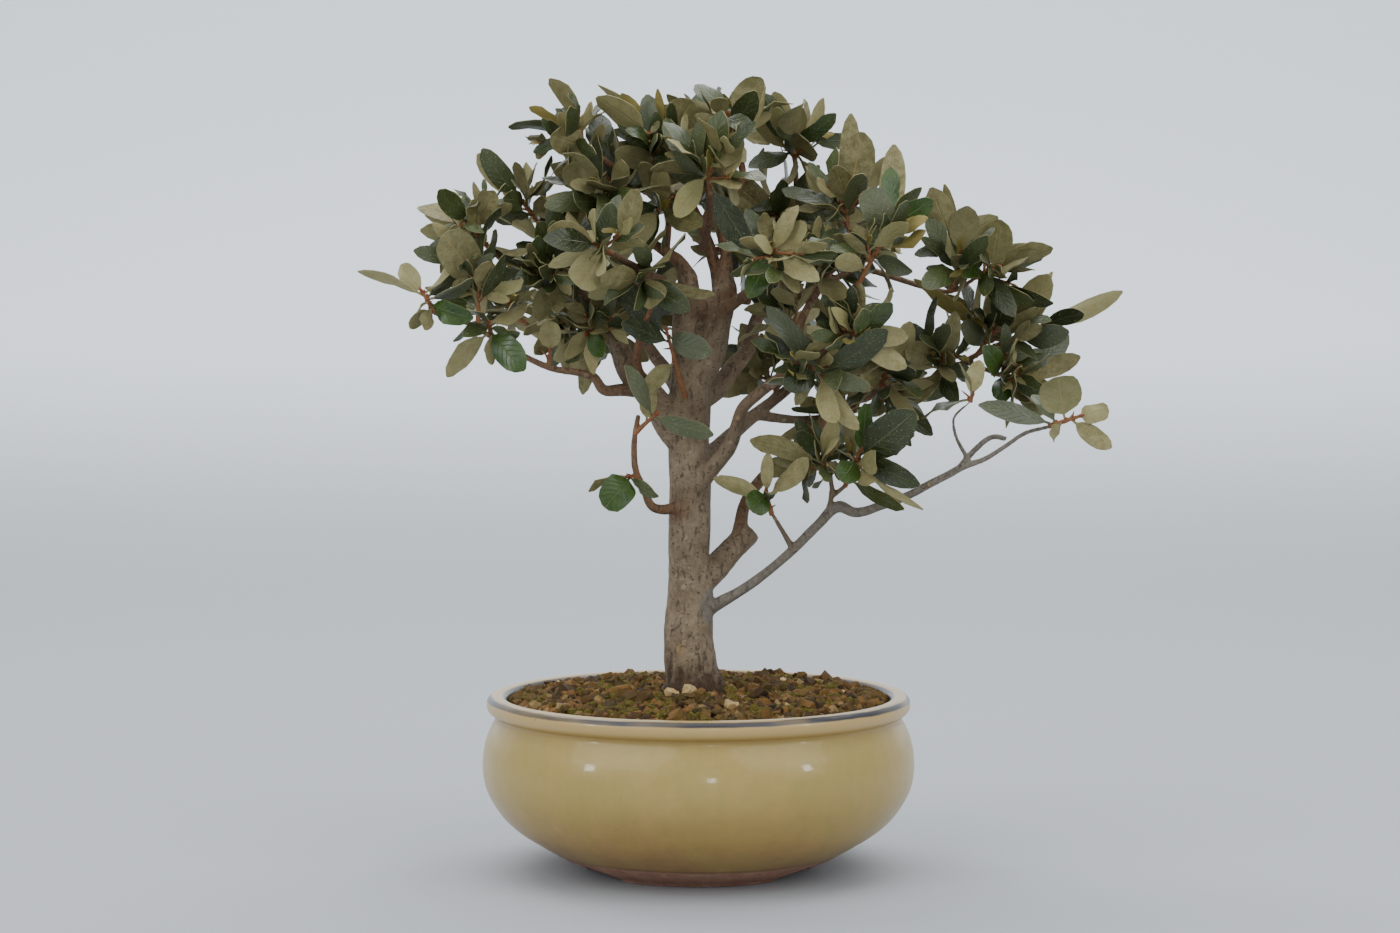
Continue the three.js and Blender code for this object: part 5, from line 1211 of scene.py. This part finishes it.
class ShootMesh:
    """Gathers the blades, twig, buds and thorns of one shoot into one mesh."""

    def __init__(self):
        self.verts, self.faces, self.slots, self.maps, self.kinds = [], [], [], [], []

    def add(self, verts, faces, slots, maps, kind):
        start = len(self.verts)
        self.verts += [to_row(v) for v in verts]
        self.faces += [tuple(start + v for v in face) for face in faces]
        self.slots += slots
        self.maps += maps
        self.kinds += [kind] * len(verts)

    def add_leaf(self, leaf):
        form = leaf.form
        maps = [((s + 1) / 2, form.blade_rows[row][0]) for row, s, _ in form.points]
        self.add(leaf.verts, form.faces, form.sides, maps, leaf_kind_of(leaf))

    def add_tube(self, way, sides, slot):
        verts, faces = tube(way, sides)
        self.add(verts, faces, [slot] * len(faces), [(0.5, 0.0)] * len(verts), (0, 0, 0, 0.5))

    def add_bud(self, place, along, bud):
        long, thick, sides = bud
        self.add_tube(outline_way(BUD_OUTLINE, place, along, long, thick), sides, BUD)

    def build(self, name):
        obj = piece_of(name, self.verts, self.faces)
        mesh = obj.data
        give_finishes(obj, "leaf_upper", "leaf_under", "shoot_bark", "bud")
        mesh.polygons.foreach_set("material_index", self.slots)
        loops = np.empty(len(mesh.loops), dtype=np.int32)
        mesh.loops.foreach_get("vertex_index", loops)
        blade = mesh.uv_layers.new(name="blade")
        blade.data.foreach_set("uv", np.asarray(self.maps, dtype=np.float32)[loops].ravel())
        kinds = mesh.attributes.new("leaf_kind", "FLOAT_COLOR", "POINT")
        kinds.data.foreach_set("color", np.asarray(self.kinds, dtype=np.float32).ravel())
        smooth_by(obj, SMOOTH_UNDER)
        return obj


def leaf_kind_of(leaf):
    """(how bright, how young, how grey, tone) of a leaf, for its materials."""
    # Dark leaves get the darkest tone: painted shade on right_top
    tone = draw(leaf.seed, 1, 30) * (DARK_TONE if leaf.age == "dark" else 1.0)
    if leaf.age in AGES:
        return (*AGES[leaf.age], tone)
    bright = SOME_BRIGHT if draw(leaf.seed, 1, 31) > BRIGHT_FROM else 0.0
    grey = SOME_GREY * draw(leaf.seed, 1, 33) if draw(leaf.seed, 1, 32) > GREY_FROM else 0.0
    return (bright, 0, grey, tone)


class Crown:
    """The leaves that stand already, so that new ones are kept clear of them."""

    def __init__(self, wood):
        self.leaves = []
        self.wood = BVHTree.FromObject(wood, bpy.context.evaluated_depsgraph_get())

    def stand(self, leaf, stem):
        leaf.shoot = stem.name
        leaf.verts = shape_blade(leaf)
        leaf.whole = BVHTree.FromPolygons(leaf.verts, leaf.form.faces)
        leaf.outer = BVHTree.FromPolygons(leaf.verts, leaf.form.outer)
        leaf.middle = (leaf.root + leaf.tip) / 2
        leaf.reach = leaf.length / 2 + leaf.width / 2
        self.leaves.append(leaf)

    def crosses(self, leaf, other):
        """Past its root a leaf keeps clear of its own shoot's leaves, and all of it of the others'."""
        if (other.middle - leaf.middle).length > other.reach + leaf.reach:
            return False
        if other.shoot == leaf.shoot:
            return bool(leaf.outer.overlap(other.outer))
        return bool(leaf.whole.overlap(other.whole))

    def stand_if_clear(self, leaf, stem):
        """Whether a leaf joins the crown: inside the solids' box, clear of the wood and the other leaves."""
        self.stand(leaf, stem)
        rows = [to_row(v) for v in leaf.verts]
        low, high = CAD_BOX
        inside = all(low[k] <= row[k] <= high[k] for row in rows for k in range(3))
        if inside and not BVHTree.FromPolygons(rows, leaf.form.outer).overlap(self.wood):
            if not any(self.crosses(leaf, other) for other in self.leaves[:-1]):
                return True
        self.leaves.pop()
        return False


def extra_leaf(stem, place, size, seed, attempt):
    """A small leaf somewhere round a twig, leaning to its tip."""
    lean = varied(seed, *EXTRA_LEAN, attempt)
    length = stem.long * size * varied(seed, *EXTRA_LENGTH)
    root = stem.foot.lerp(stem.tip, (0.2 + 0.8 * place) * LAST_ROOT)
    out = stem.out(FULL_TURN * draw(seed, attempt, 0))
    along = (stem.along * math.cos(lean) + out * math.sin(lean) + UP * EXTRA_RISE).normalized()
    normal = turned(stem.along, along, EXTRA_ROLL * spread(seed, attempt, 4))
    return Leaf(root, root + along * length, normal, length * varied(seed, *EXTRA_WIDTH), seed)


class SideTwig(Stem):
    """A short twig that branches off a shoot and bears leaves of its own."""

    def __init__(self, shoot, k):
        seed = shoot.seed + SIDE_SEED + SIDE_SEED_STEP * k
        foot = shoot.foot.lerp(shoot.tip, varied(seed, *SIDE_PLACE))
        along = shoot.out(FULL_TURN * draw(seed, 0, 71)) + shoot.along * 0.5 + UP * 0.25
        along.normalize()
        super().__init__(shoot.name, foot, foot + along * varied(seed, *SIDE_LENGTH), along, seed)
        self.long = shoot.long * SIDE_LEAVES_LONG


def add_extra_leaves(crown, stems, count, form):
    """Tries small leaves on each stem in turn, and keeps the ones that stand clear."""
    for i in range(count):
        for stem in stems:
            seed = stem.seed + EXTRA_SEED + i
            young = i % EACH_YOUNG == EACH_YOUNG - 1
            size = YOUNG_SIZE if young else varied(seed, *EXTRA_SIZE)
            place = 1.0 if young else draw(seed, 0, 41)
            for attempt in range(EXTRA_TRIES):
                leaf = extra_leaf(stem, place, size, seed, attempt)
                leaf.form = form
                if crown.stand_if_clear(leaf, stem):
                    leaf.age = "young" if young and draw(seed, 0, 42) > YOUNG_GREEN else "old"
                    stem.leaves.append(leaf)
                    break


def build_shoot(shoot, side_twigs):
    """One shoot with its leaves, buds and thorns as one mesh."""
    mesh = ShootMesh()
    for twig in side_twigs:
        if twig.name == shoot.name and len(twig.leaves) > 1:
            mesh.add_tube(list(zip((twig.foot, twig.tip), SIDE_TWIG_RADII)), TWIG_SIDES, TWIG)
            shoot.leaves += twig.leaves
    for leaf in shoot.leaves:
        mesh.add_leaf(leaf)
    mesh.add_tube(twig_way(shoot), TWIG_SIDES, TWIG)
    mesh.add_bud(shoot.tip - shoot.along * 0.5, shoot.along, TIP_BUD)
    for leaf in shoot.leaves:
        mesh.add_bud(leaf.root, (leaf.along + shoot.along).normalized(), LEAF_BUD)
    for i in range(1 + int(2 * draw(shoot.seed, 0, 50))):
        foot = shoot.foot.lerp(shoot.tip, varied(shoot.seed, *THORN_PLACE, i))
        out = shoot.out(FULL_TURN * draw(shoot.seed, i, 52))
        out = (out + shoot.along * 0.5).normalized()
        long = varied(shoot.seed, *THORN_LENGTH, i)
        mesh.add_tube(outline_way(THORN_OUTLINE, foot, out, long, 1.0), THORN_SIDES, TWIG)
    finished(mesh.build("leafy_" + shoot.name), "leaf", "shoot_" + shoot.name)


def build_shoots(settings, wood):
    large, small = BladeForm(LARGE_BLADE), BladeForm(SMALL_BLADE)
    crown = Crown(wood)
    shoots = grow_shoots()
    for shoot in shoots:
        for leaf in shoot.leaves:
            leaf.form = large
            crown.stand(leaf, shoot)
    leafy = [shoot for shoot in shoots if shoot.name not in BARE_SHOOTS]
    side_twigs = [SideTwig(shoot, k) for shoot in leafy for k in range(settings.side_twigs)
                  if k == 0 or shoot.name not in OPEN_SHOOTS]
    add_extra_leaves(crown, leafy, settings.extra_leaves, small)
    add_extra_leaves(crown, side_twigs, settings.side_leaves, small)
    for shoot in shoots:
        build_shoot(shoot, side_twigs)
    return sum(len(shoot.leaves) for shoot in shoots)


# Pot, soil and drain screens


# The pot's wall as (radius, height) from the foot up, over the lip and down inside
FOOT_PROFILE = [(56.0, 5.0), (57.4, 4.4), (58.2, 1.2), (59.4, 0.0), (66.2, 0.0), (67.8, 0.5)]
WALL_PROFILE = [(68.2, 1.2), (77.5, 5.7), (88, 11.5), (99, 18.0), (110, 25.2), (118, 32.6), (124, 41.2),
                (128.2, 50), (129.8, 58), (130, 66), (128.8, 75), (126.2, 83.2), (123.6, 88.4), (122.4, 91.2),
                (122.9, 93.2), (125.0, 94.6), (126.9, 96.6), (127.5, 99.4), (127, 102.2), (125.4, 104.2),
                (122.6, 104.9), (119, 104.8), (116.4, 103.7), (115.2, 101.4), (115.4, 97), (118, 88),
                (122.2, 74),
                (121.4, 58), (116, 43), (107, 32), (96, 23), (82, 15.6), (68, 11.4), (46, 11)]
WALL_STEPS, POT_SMOOTH = 3, 38
GLAZE_EDGE = 12.0
FOOT_GAP_ANGLES = (210, 330, 90)
FOOT_GAP_REACH, FOOT_GAP_HEIGHT, FOOT_INSIDE = 22, 9.24, 50
FLOOR_Z = 11
DRAIN_HOLE_RADIUS, DRAIN_HOLE_OFFSET, DRILL_HEIGHT, DRILL_DEPTH, DRILL_SIDES = 7, 32, 8, 30, 32
SCREEN_RADIUS, SCREEN_THICKNESS, SCREEN_GRID, SCREEN_WIRE, SCREEN_RIM = 15, 1.2, 18, 0.5, 0.6
CLEARANCE = 0.3
SOIL_RADIUS, SOIL_EDGE_Z, SOIL_MIDDLE_Z = 114.6, 99.5, 105.5
# Granules lie in a shaken triangle pattern, and some lie higher on the others
ROW_PITCH, SHAKEN = 0.866, 0.8
GRANULE_SIZE, GRANULE_SPREAD, GRANULE_POWER = 1.1, 2.0, 2.2
GRANULE_LIFT, GRANULE_RISE, GRANULE_RISE_POWER = 0.2, 2.4, 1.5
LUMPY, LUMP_MARGIN, LUMP_GROWTH, LUMP_LIFT = 0.93, 8, 1.15, 2.2
TRUNK_COVER = 2
# Moss tufts as (least, range): how far from the axis, how many cushions, how big and how high each is
MOSS_RING, MOSS_CUSHIONS, MOSS_SIZE, MOSS_LIFT = (20, 88), (2, 4), (1.1, 1.3), (1.6, 1.6)
MOSS_APART, MOSS_MARGIN, MOSS_FLAT, MOSS_DENTS, MOSS_SEED = 6, 4, 0.8, 0.4, 5000
STONE_LIFT, STONE_SUNK, STONE_SHAPE, STONE_DENTS, STONE_SEED = 2.2, 0.25, (1, 0.8, 0.85), 0.3, 9000
GRAIN_ROUND, GRAIN_DENTS, GRAIN_SMOOTH = 0.75, 0.36, 34


def rounded_profile(points, steps):
    places = [Vector((r, 0, z)) for r, z in points]
    return [(place.x, place.z) for place, _ in smooth_way(places, [0] * len(places), steps)]


def grow_ring(profile, sides):
    """A ring of edges drawn up a profile round the pot's axis, by extruding and scaling it step by step."""
    nothing_selected()
    radius, height = profile[0]
    bpy.ops.mesh.primitive_circle_add(vertices=sides, radius=radius * MM, fill_type="NGON",
                                      location=to_row((0, 0, height)))
    obj = bpy.context.object
    bpy.ops.object.transform_apply(location=True, rotation=True, scale=True)
    bpy.ops.object.mode_set(mode="EDIT")
    bpy.ops.mesh.select_mode(type="EDGE")
    bpy.ops.mesh.select_all(action="SELECT")
    for (r0, z0), (r1, z1) in zip(profile, profile[1:]):
        bpy.ops.mesh.extrude_edges_move(TRANSFORM_OT_translate={"value": (0, 0, (z1 - z0) * MM)})
        share = r1 / r0
        bpy.ops.transform.resize(value=(share, share, 1), center_override=to_row((0, 0, z1)))
    bpy.ops.mesh.edge_face_add()
    bpy.ops.mesh.select_all(action="SELECT")
    bpy.ops.mesh.normals_make_consistent(inside=False)
    bpy.ops.object.mode_set(mode="OBJECT")
    return obj


def cut_foot_gaps(mesh):
    """Raises the foot's underside into three arches."""
    for vert in mesh.vertices:
        local = (vert.co - POT_AXIS) / MM
        radius = math.hypot(local.x, local.y)
        if local.z > FOOT_GAP_HEIGHT or radius < FOOT_INSIDE:
            continue
        for angle in FOOT_GAP_ANGLES:
            turn = math.radians(angle)
            out = local.x * math.cos(turn) + local.y * math.sin(turn)
            off = local.y * math.cos(turn) - local.x * math.sin(turn)
            if out > 0 and abs(off) < FOOT_GAP_REACH:
                top = FOOT_GAP_HEIGHT * math.sqrt(1 - (off / FOOT_GAP_REACH) ** 2)
                vert.co.z = POT_AXIS.z + max(local.z, top) * MM


def drill(obj, place):
    nothing_selected()
    bpy.ops.mesh.primitive_cylinder_add(vertices=DRILL_SIDES, radius=DRAIN_HOLE_RADIUS * MM,
                                        depth=DRILL_DEPTH * MM, location=to_row(place))
    drill_bit = bpy.context.object
    apply_modifier(obj, "BOOLEAN", object=drill_bit, operation="DIFFERENCE", solver="EXACT")
    bpy.data.objects.remove(drill_bit)


def build_pot(settings):
    profile = FOOT_PROFILE + rounded_profile(WALL_PROFILE, WALL_STEPS)
    obj = grow_ring(profile, settings.pot_sides)
    cut_foot_gaps(obj.data)
    for side in (-1, 1):
        drill(obj, (side * DRAIN_HOLE_OFFSET, 0, DRILL_HEIGHT))
    give_finishes(obj, "glaze")
    level = Vector((1, 1, 0))
    set_values(obj.data, "inside", [v.normal.dot((v.co - POT_AXIS) * level) < 0 for v in obj.data.vertices])
    smooth_by(obj, POT_SMOOTH)
    obj.name = "pot_glazed"
    finished(obj, "glaze", "pot")


def soil_height(radius):
    return SOIL_MIDDLE_Z + (SOIL_EDGE_Z - SOIL_MIDDLE_Z) * (radius / SOIL_RADIUS) ** 2


class GrainForm:
    """A rounded block of 24 faces, which every granule and stone is a dented copy of."""

    def __init__(self):
        nothing_selected()
        bpy.ops.mesh.primitive_cube_add(size=2)
        obj = bpy.context.object
        bpy.ops.object.mode_set(mode="EDIT")
        bpy.ops.mesh.select_all(action="SELECT")
        bpy.ops.mesh.subdivide(number_cuts=1)
        bpy.ops.transform.tosphere(value=GRAIN_ROUND)
        bpy.ops.object.mode_set(mode="OBJECT")
        self.points = np.array([tuple(v.co) for v in obj.data.vertices])
        self.faces = [tuple(p.vertices) for p in obj.data.polygons]
        bpy.data.objects.remove(obj)


class Scatter:
    """Many dented copies of one grain, in one mesh."""

    def __init__(self, form):
        self.form = form
        self.verts, self.faces, self.tones = [], [], []

    def add(self, place, sizes, seed, dented=GRAIN_DENTS):
        turn = Quaternion((*(spread(seed, 0, channel) for channel in (1, 2, 3)), draw(seed, 0, 4)))
        turn.normalize()
        matrix = np.array(turn.to_matrix()) @ np.diag(sizes)
        rng = np.random.default_rng(seed)
        dents = 1 + dented * rng.uniform(-1, 1, (len(self.form.points), 1))
        points = (self.form.points * dents) @ matrix.T
        start = len(self.verts)
        self.verts += [to_row(Vector(p) + place) for p in points]
        self.faces += [tuple(start + v for v in face) for face in self.form.faces]
        self.tones += [draw(seed, 0, 5)] * len(points)

    def build(self, name, material, slot):
        obj = piece_of(name, self.verts, self.faces)
        set_values(obj.data, "tone", self.tones)
        give_finishes(obj, material)
        smooth_by(obj, GRAIN_SMOOTH)
        finished(obj, slot)


def lay_granules(granules, pitch):
    """Clay granules all over the soil, round the trunk."""
    x, z, depth, trunk_radius = LIMBS[0][1][2]
    trunk = seen((x, z, depth))
    count = int(2 * SOIL_RADIUS / pitch)
    seed = 0
    for i in range(count + 1):
        for k in range(int(count / ROW_PITCH) + 1):
            seed += 1
            x = -SOIL_RADIUS + pitch * (i + 0.5 * (k % 2) + SHAKEN * spread(seed, 0, 11))
            y = -SOIL_RADIUS + pitch * ROW_PITCH * (k + SHAKEN * spread(seed, 0, 12))
            radius = math.hypot(x, y)
            size = GRANULE_SIZE + GRANULE_SPREAD * draw(seed, 0, 13) ** GRANULE_POWER
            on_trunk = math.hypot(x - trunk.x, y - trunk.y) < trunk_radius - TRUNK_COVER
            if radius > SOIL_RADIUS - size or on_trunk:
                continue
            z = soil_height(radius) + GRANULE_LIFT + GRANULE_RISE * draw(seed, 0, 14) ** GRANULE_RISE_POWER
            if draw(seed, 0, 16) > LUMPY and radius < SOIL_RADIUS - LUMP_MARGIN:
                size *= LUMP_GROWTH
                z += LUMP_LIFT
            sizes = [size * varied(seed, 0.8, 0.4, 15 + axis) for axis in range(3)]
            granules.add(Vector((x, y, z)), sizes, seed)


def lay_moss(moss, tufts):
    """Tufts of a few small cushions each."""
    for seed in range(tufts):
        turn = FULL_TURN * draw(seed, 7, 1)
        radius = MOSS_RING[0] + MOSS_RING[1] * math.sqrt(draw(seed, 7, 2))
        for k in range(MOSS_CUSHIONS[0] + int(MOSS_CUSHIONS[1] * draw(seed, 7, 3))):
            x = radius * math.cos(turn) + MOSS_APART * spread(seed, 7, 20 + k)
            y = radius * math.sin(turn) + MOSS_APART * spread(seed, 7, 40 + k)
            away = math.hypot(x, y)
            if away > SOIL_RADIUS - MOSS_MARGIN:
                continue
            size = varied(seed, *MOSS_SIZE, 60 + k, 7)
            place = Vector((x, y, soil_height(away) + varied(seed, *MOSS_LIFT, 80 + k, 7)))
            moss.add(place, (size, size, size * MOSS_FLAT), MOSS_SEED + 10 * seed + k, MOSS_DENTS)


def build_soil(settings):
    form = GrainForm()
    granules, moss, stones = Scatter(form), Scatter(form), Scatter(form)
    lay_granules(granules, settings.granule_pitch)
    granules.build("soil_granules", "granule", "soil")
    lay_moss(moss, settings.moss_tufts)
    moss.build("soil_moss", "moss", "soil")
    for i, (x, y, size) in enumerate(STONES):
        place = Vector((x, y, soil_height(math.hypot(x, y)) + STONE_LIFT + size * STONE_SUNK))
        stones.add(place, [size * share for share in STONE_SHAPE], STONE_SEED + i, STONE_DENTS)
    stones.build("soil_pebbles", "pebble", "soil")
    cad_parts["soil"].data.materials.clear()
    give_finishes(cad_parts["soil"], "granule")


def build_screens():
    for name, side in (("drain_screen_left", -1), ("drain_screen_right", 1)):
        nothing_selected()
        lift = FLOOR_Z + CLEARANCE + SCREEN_THICKNESS / 2
        place = to_row((side * DRAIN_HOLE_OFFSET, 0, lift))
        bpy.ops.mesh.primitive_grid_add(x_subdivisions=SCREEN_GRID, y_subdivisions=SCREEN_GRID,
                                        size=2 * SCREEN_RADIUS * MM, location=place)
        obj = bpy.context.object
        bpy.ops.object.transform_apply(location=True, rotation=True, scale=True)
        mesh = bmesh.new()
        mesh.from_mesh(obj.data)
        far = [v for v in mesh.verts if (v.co - place).length > (SCREEN_RADIUS - SCREEN_RIM) * MM]
        bmesh.ops.delete(mesh, geom=far, context="VERTS")
        mesh.to_mesh(obj.data)
        mesh.free()
        apply_modifier(obj, "WIREFRAME", thickness=SCREEN_WIRE * MM, use_replace=True, use_boundary=True)
        give_finishes(obj, "mesh_plastic")
        obj.name = name + "_mesh"
        finished(obj, "screen", name)


# Stage


# The floor and the wall behind, seen from the side, as (depth, height) in metres
SWEEP = [(-14.0, 0.0), (-6.0, 0.0), (-2.0, 0.0), (0.3, 0.0), (0.8, 0.0), (1.3, 0.0), (1.9, 0.05),
         (2.35, 0.22), (2.65, 0.55), (2.8, 1.0), (2.85, 6.0)]
SWEEP_HALF = 16.0
LIGHT_AIM = 220
ROOM_COLOUR = (0.86, 0.93, 1.0, 1)
CLIP_NEAR, CLIP_FAR = 0.05, 50


def build_stage():
    """Pale floor that curves up into a pale wall behind."""
    verts = [(x, y, z) for y, z in SWEEP for x in (-SWEEP_HALF, SWEEP_HALF)]
    faces = [(2 * i, 2 * i + 1, 2 * i + 3, 2 * i + 2) for i in range(len(SWEEP) - 1)]
    obj = piece_of("floor_and_wall", verts, faces)
    give_finishes(obj, "backdrop")
    apply_modifier(obj, "SUBSURF", levels=3, render_levels=3)
    bpy.ops.object.shade_smooth()


def aimed(name, data, place, aim):
    """A light or a camera that looks at a point."""
    obj = placed(name, data)
    obj.location = place
    obj.rotation_euler = (Vector(aim) - Vector(place)).to_track_quat("-Z", "Y").to_euler()
    return obj


def build_lights(settings):
    for name, place, size, power in SOFT_LIGHTS:
        light = bpy.data.lights.new(name, "AREA")
        light.shape = "RECTANGLE"
        light.size, light.size_y = size
        light.energy = power * settings.brightness
        aimed(name, light, place, to_row((0, 0, LIGHT_AIM)))
    world = bpy.data.worlds.new("soft_room")
    world.use_nodes = True
    background = world.node_tree.nodes["Background"]
    background.inputs["Color"].default_value = ROOM_COLOUR
    background.inputs["Strength"].default_value = ROOM_LIGHT * settings.brightness
    bpy.context.scene.world = world


def place_camera():
    camera = bpy.data.cameras.new("photo_view")
    camera.lens = LENS
    camera.sensor_width = SENSOR_WIDTH
    camera.clip_start, camera.clip_end = CLIP_NEAR, CLIP_FAR
    place = to_row((VIEW_ASIDE, -VIEW_DISTANCE, VIEW_HEIGHT))
    bpy.context.scene.camera = aimed("photo_view", camera, place, to_row((VIEW_ASIDE, 0, AIM_HEIGHT)))


# Settings, operators and panel


class BonsaiWood(bpy.types.PropertyGroup):
    grain: FloatProperty(name="Grain", description="Size of the blocks the wood is grown from, in millimetres",
                         default=1.0, min=0.6, max=3.0)


class BonsaiLeaves(bpy.types.PropertyGroup):
    extra_leaves: IntProperty(name="Extra leaves", description="Small leaves tried on each shoot",
                              default=8, min=0, max=16)
    side_twigs: IntProperty(name="Side twigs", description="Short twigs that branch off each shoot",
                            default=4, min=0, max=8)
    side_leaves: IntProperty(name="Leaves on side twigs", description="Leaves tried on each side twig",
                             default=5, min=0, max=12)


class BonsaiPot(bpy.types.PropertyGroup):
    pot_sides: IntProperty(name="Sides", description="Steps round the pot's wall",
                           default=160, min=48, max=256)
    glaze_colour: FloatVectorProperty(name="Glaze", description="Colour of the glaze on the belly",
                                      subtype="COLOR", size=3, default=linear(170, 151, 90)[:3], min=0, max=1)
    foot_glaze_colour: FloatVectorProperty(name="Glaze near the foot",
                                           description="Colour of the glaze low down", subtype="COLOR",
                                           size=3, default=linear(144, 104, 56)[:3], min=0, max=1)


class BonsaiSoil(bpy.types.PropertyGroup):
    granule_pitch: FloatProperty(name="Granule pitch", description="Distance between granules, in millimetres",
                                 default=3.7, min=3.0, max=8.0)
    moss_tufts: IntProperty(name="Moss tufts", description="Tufts of moss on the soil",
                            default=260, min=0, max=500)


class BonsaiStage(bpy.types.PropertyGroup):
    brightness: FloatProperty(name="Brightness", description="Strength of all lights together",
                              subtype="FACTOR", default=1.0, min=0.1, max=4.0)


class BONSAI_OT_wood(bpy.types.Operator):
    """Grow the trunk, the stems and the limbs as one body of wood."""
    bl_idname = "bonsai.wood"
    bl_label = "Wood"

    def execute(self, context):
        build_wood(context.scene.bonsai_wood)
        return {"FINISHED"}


class BONSAI_OT_shoots(bpy.types.Operator):
    """Dress every shoot with its leaves, buds and thorns."""
    bl_idname = "bonsai.shoots"
    bl_label = "Leafy shoots"

    def execute(self, context):
        count = build_shoots(context.scene.bonsai_leaves, bpy.data.objects["wood_grown"])
        print("leaves", count)
        return {"FINISHED"}


class BONSAI_OT_pot(bpy.types.Operator):
    """Turn the glazed pot with its lip and its cut foot."""
    bl_idname = "bonsai.pot"
    bl_label = "Pot"

    def execute(self, context):
        build_pot(context.scene.bonsai_pot)
        return {"FINISHED"}


class BONSAI_OT_soil(bpy.types.Operator):
    """Fill the pot with clay granules, moss and a few pale stones."""
    bl_idname = "bonsai.soil"
    bl_label = "Soil"

    def execute(self, context):
        build_soil(context.scene.bonsai_soil)
        return {"FINISHED"}


class BONSAI_OT_screens(bpy.types.Operator):
    """Lay the two drain screens on the pot's floor."""
    bl_idname = "bonsai.screens"
    bl_label = "Drain screens"

    def execute(self, context):
        build_screens()
        return {"FINISHED"}


class BONSAI_OT_stage(bpy.types.Operator):
    """Set the pale floor, the soft lights and the camera."""
    bl_idname = "bonsai.stage"
    bl_label = "Stage"

    def execute(self, context):
        build_stage()
        build_lights(context.scene.bonsai_stage)
        place_camera()
        return {"FINISHED"}


class BONSAI_PT_sidebar(bpy.types.Panel):
    bl_label = "Thorny olive bonsai"
    bl_space_type = "VIEW_3D"
    bl_region_type = "UI"
    bl_category = "Bonsai"

    def draw(self, context):
        for group, operator in PANEL_ROWS:
            box = self.layout.box()
            box.operator(operator)
            if group:
                settings = getattr(context.scene, group)
                for name in settings.__annotations__:
                    box.prop(settings, name)


SETTINGS = {"bonsai_wood": BonsaiWood, "bonsai_leaves": BonsaiLeaves, "bonsai_pot": BonsaiPot,
            "bonsai_soil": BonsaiSoil, "bonsai_stage": BonsaiStage}
OPERATORS = [BONSAI_OT_wood, BONSAI_OT_shoots, BONSAI_OT_pot, BONSAI_OT_soil, BONSAI_OT_screens,
             BONSAI_OT_stage]
PANEL_ROWS = [("bonsai_wood", "bonsai.wood"), ("bonsai_leaves", "bonsai.shoots"),
              ("bonsai_pot", "bonsai.pot"), ("bonsai_soil", "bonsai.soil"),
              (None, "bonsai.screens"), ("bonsai_stage", "bonsai.stage")]


def register():
    for group in SETTINGS.values():
        bpy.utils.register_class(group)
    for name, group in SETTINGS.items():
        setattr(bpy.types.Scene, name, PointerProperty(type=group))
    for operator in OPERATORS:
        bpy.utils.register_class(operator)
    bpy.utils.register_class(BONSAI_PT_sidebar)


def unregister():
    bpy.utils.unregister_class(BONSAI_PT_sidebar)
    for operator in reversed(OPERATORS):
        bpy.utils.unregister_class(operator)
    for name, group in SETTINGS.items():
        delattr(bpy.types.Scene, name)
        bpy.utils.unregister_class(group)


def main():
    register()
    bpy.ops.bonsai.wood()
    bpy.ops.bonsai.shoots()
    bpy.ops.bonsai.pot()
    bpy.ops.bonsai.soil()
    bpy.ops.bonsai.screens()
    bpy.ops.bonsai.stage()


if __name__ == "__main__":
    main()
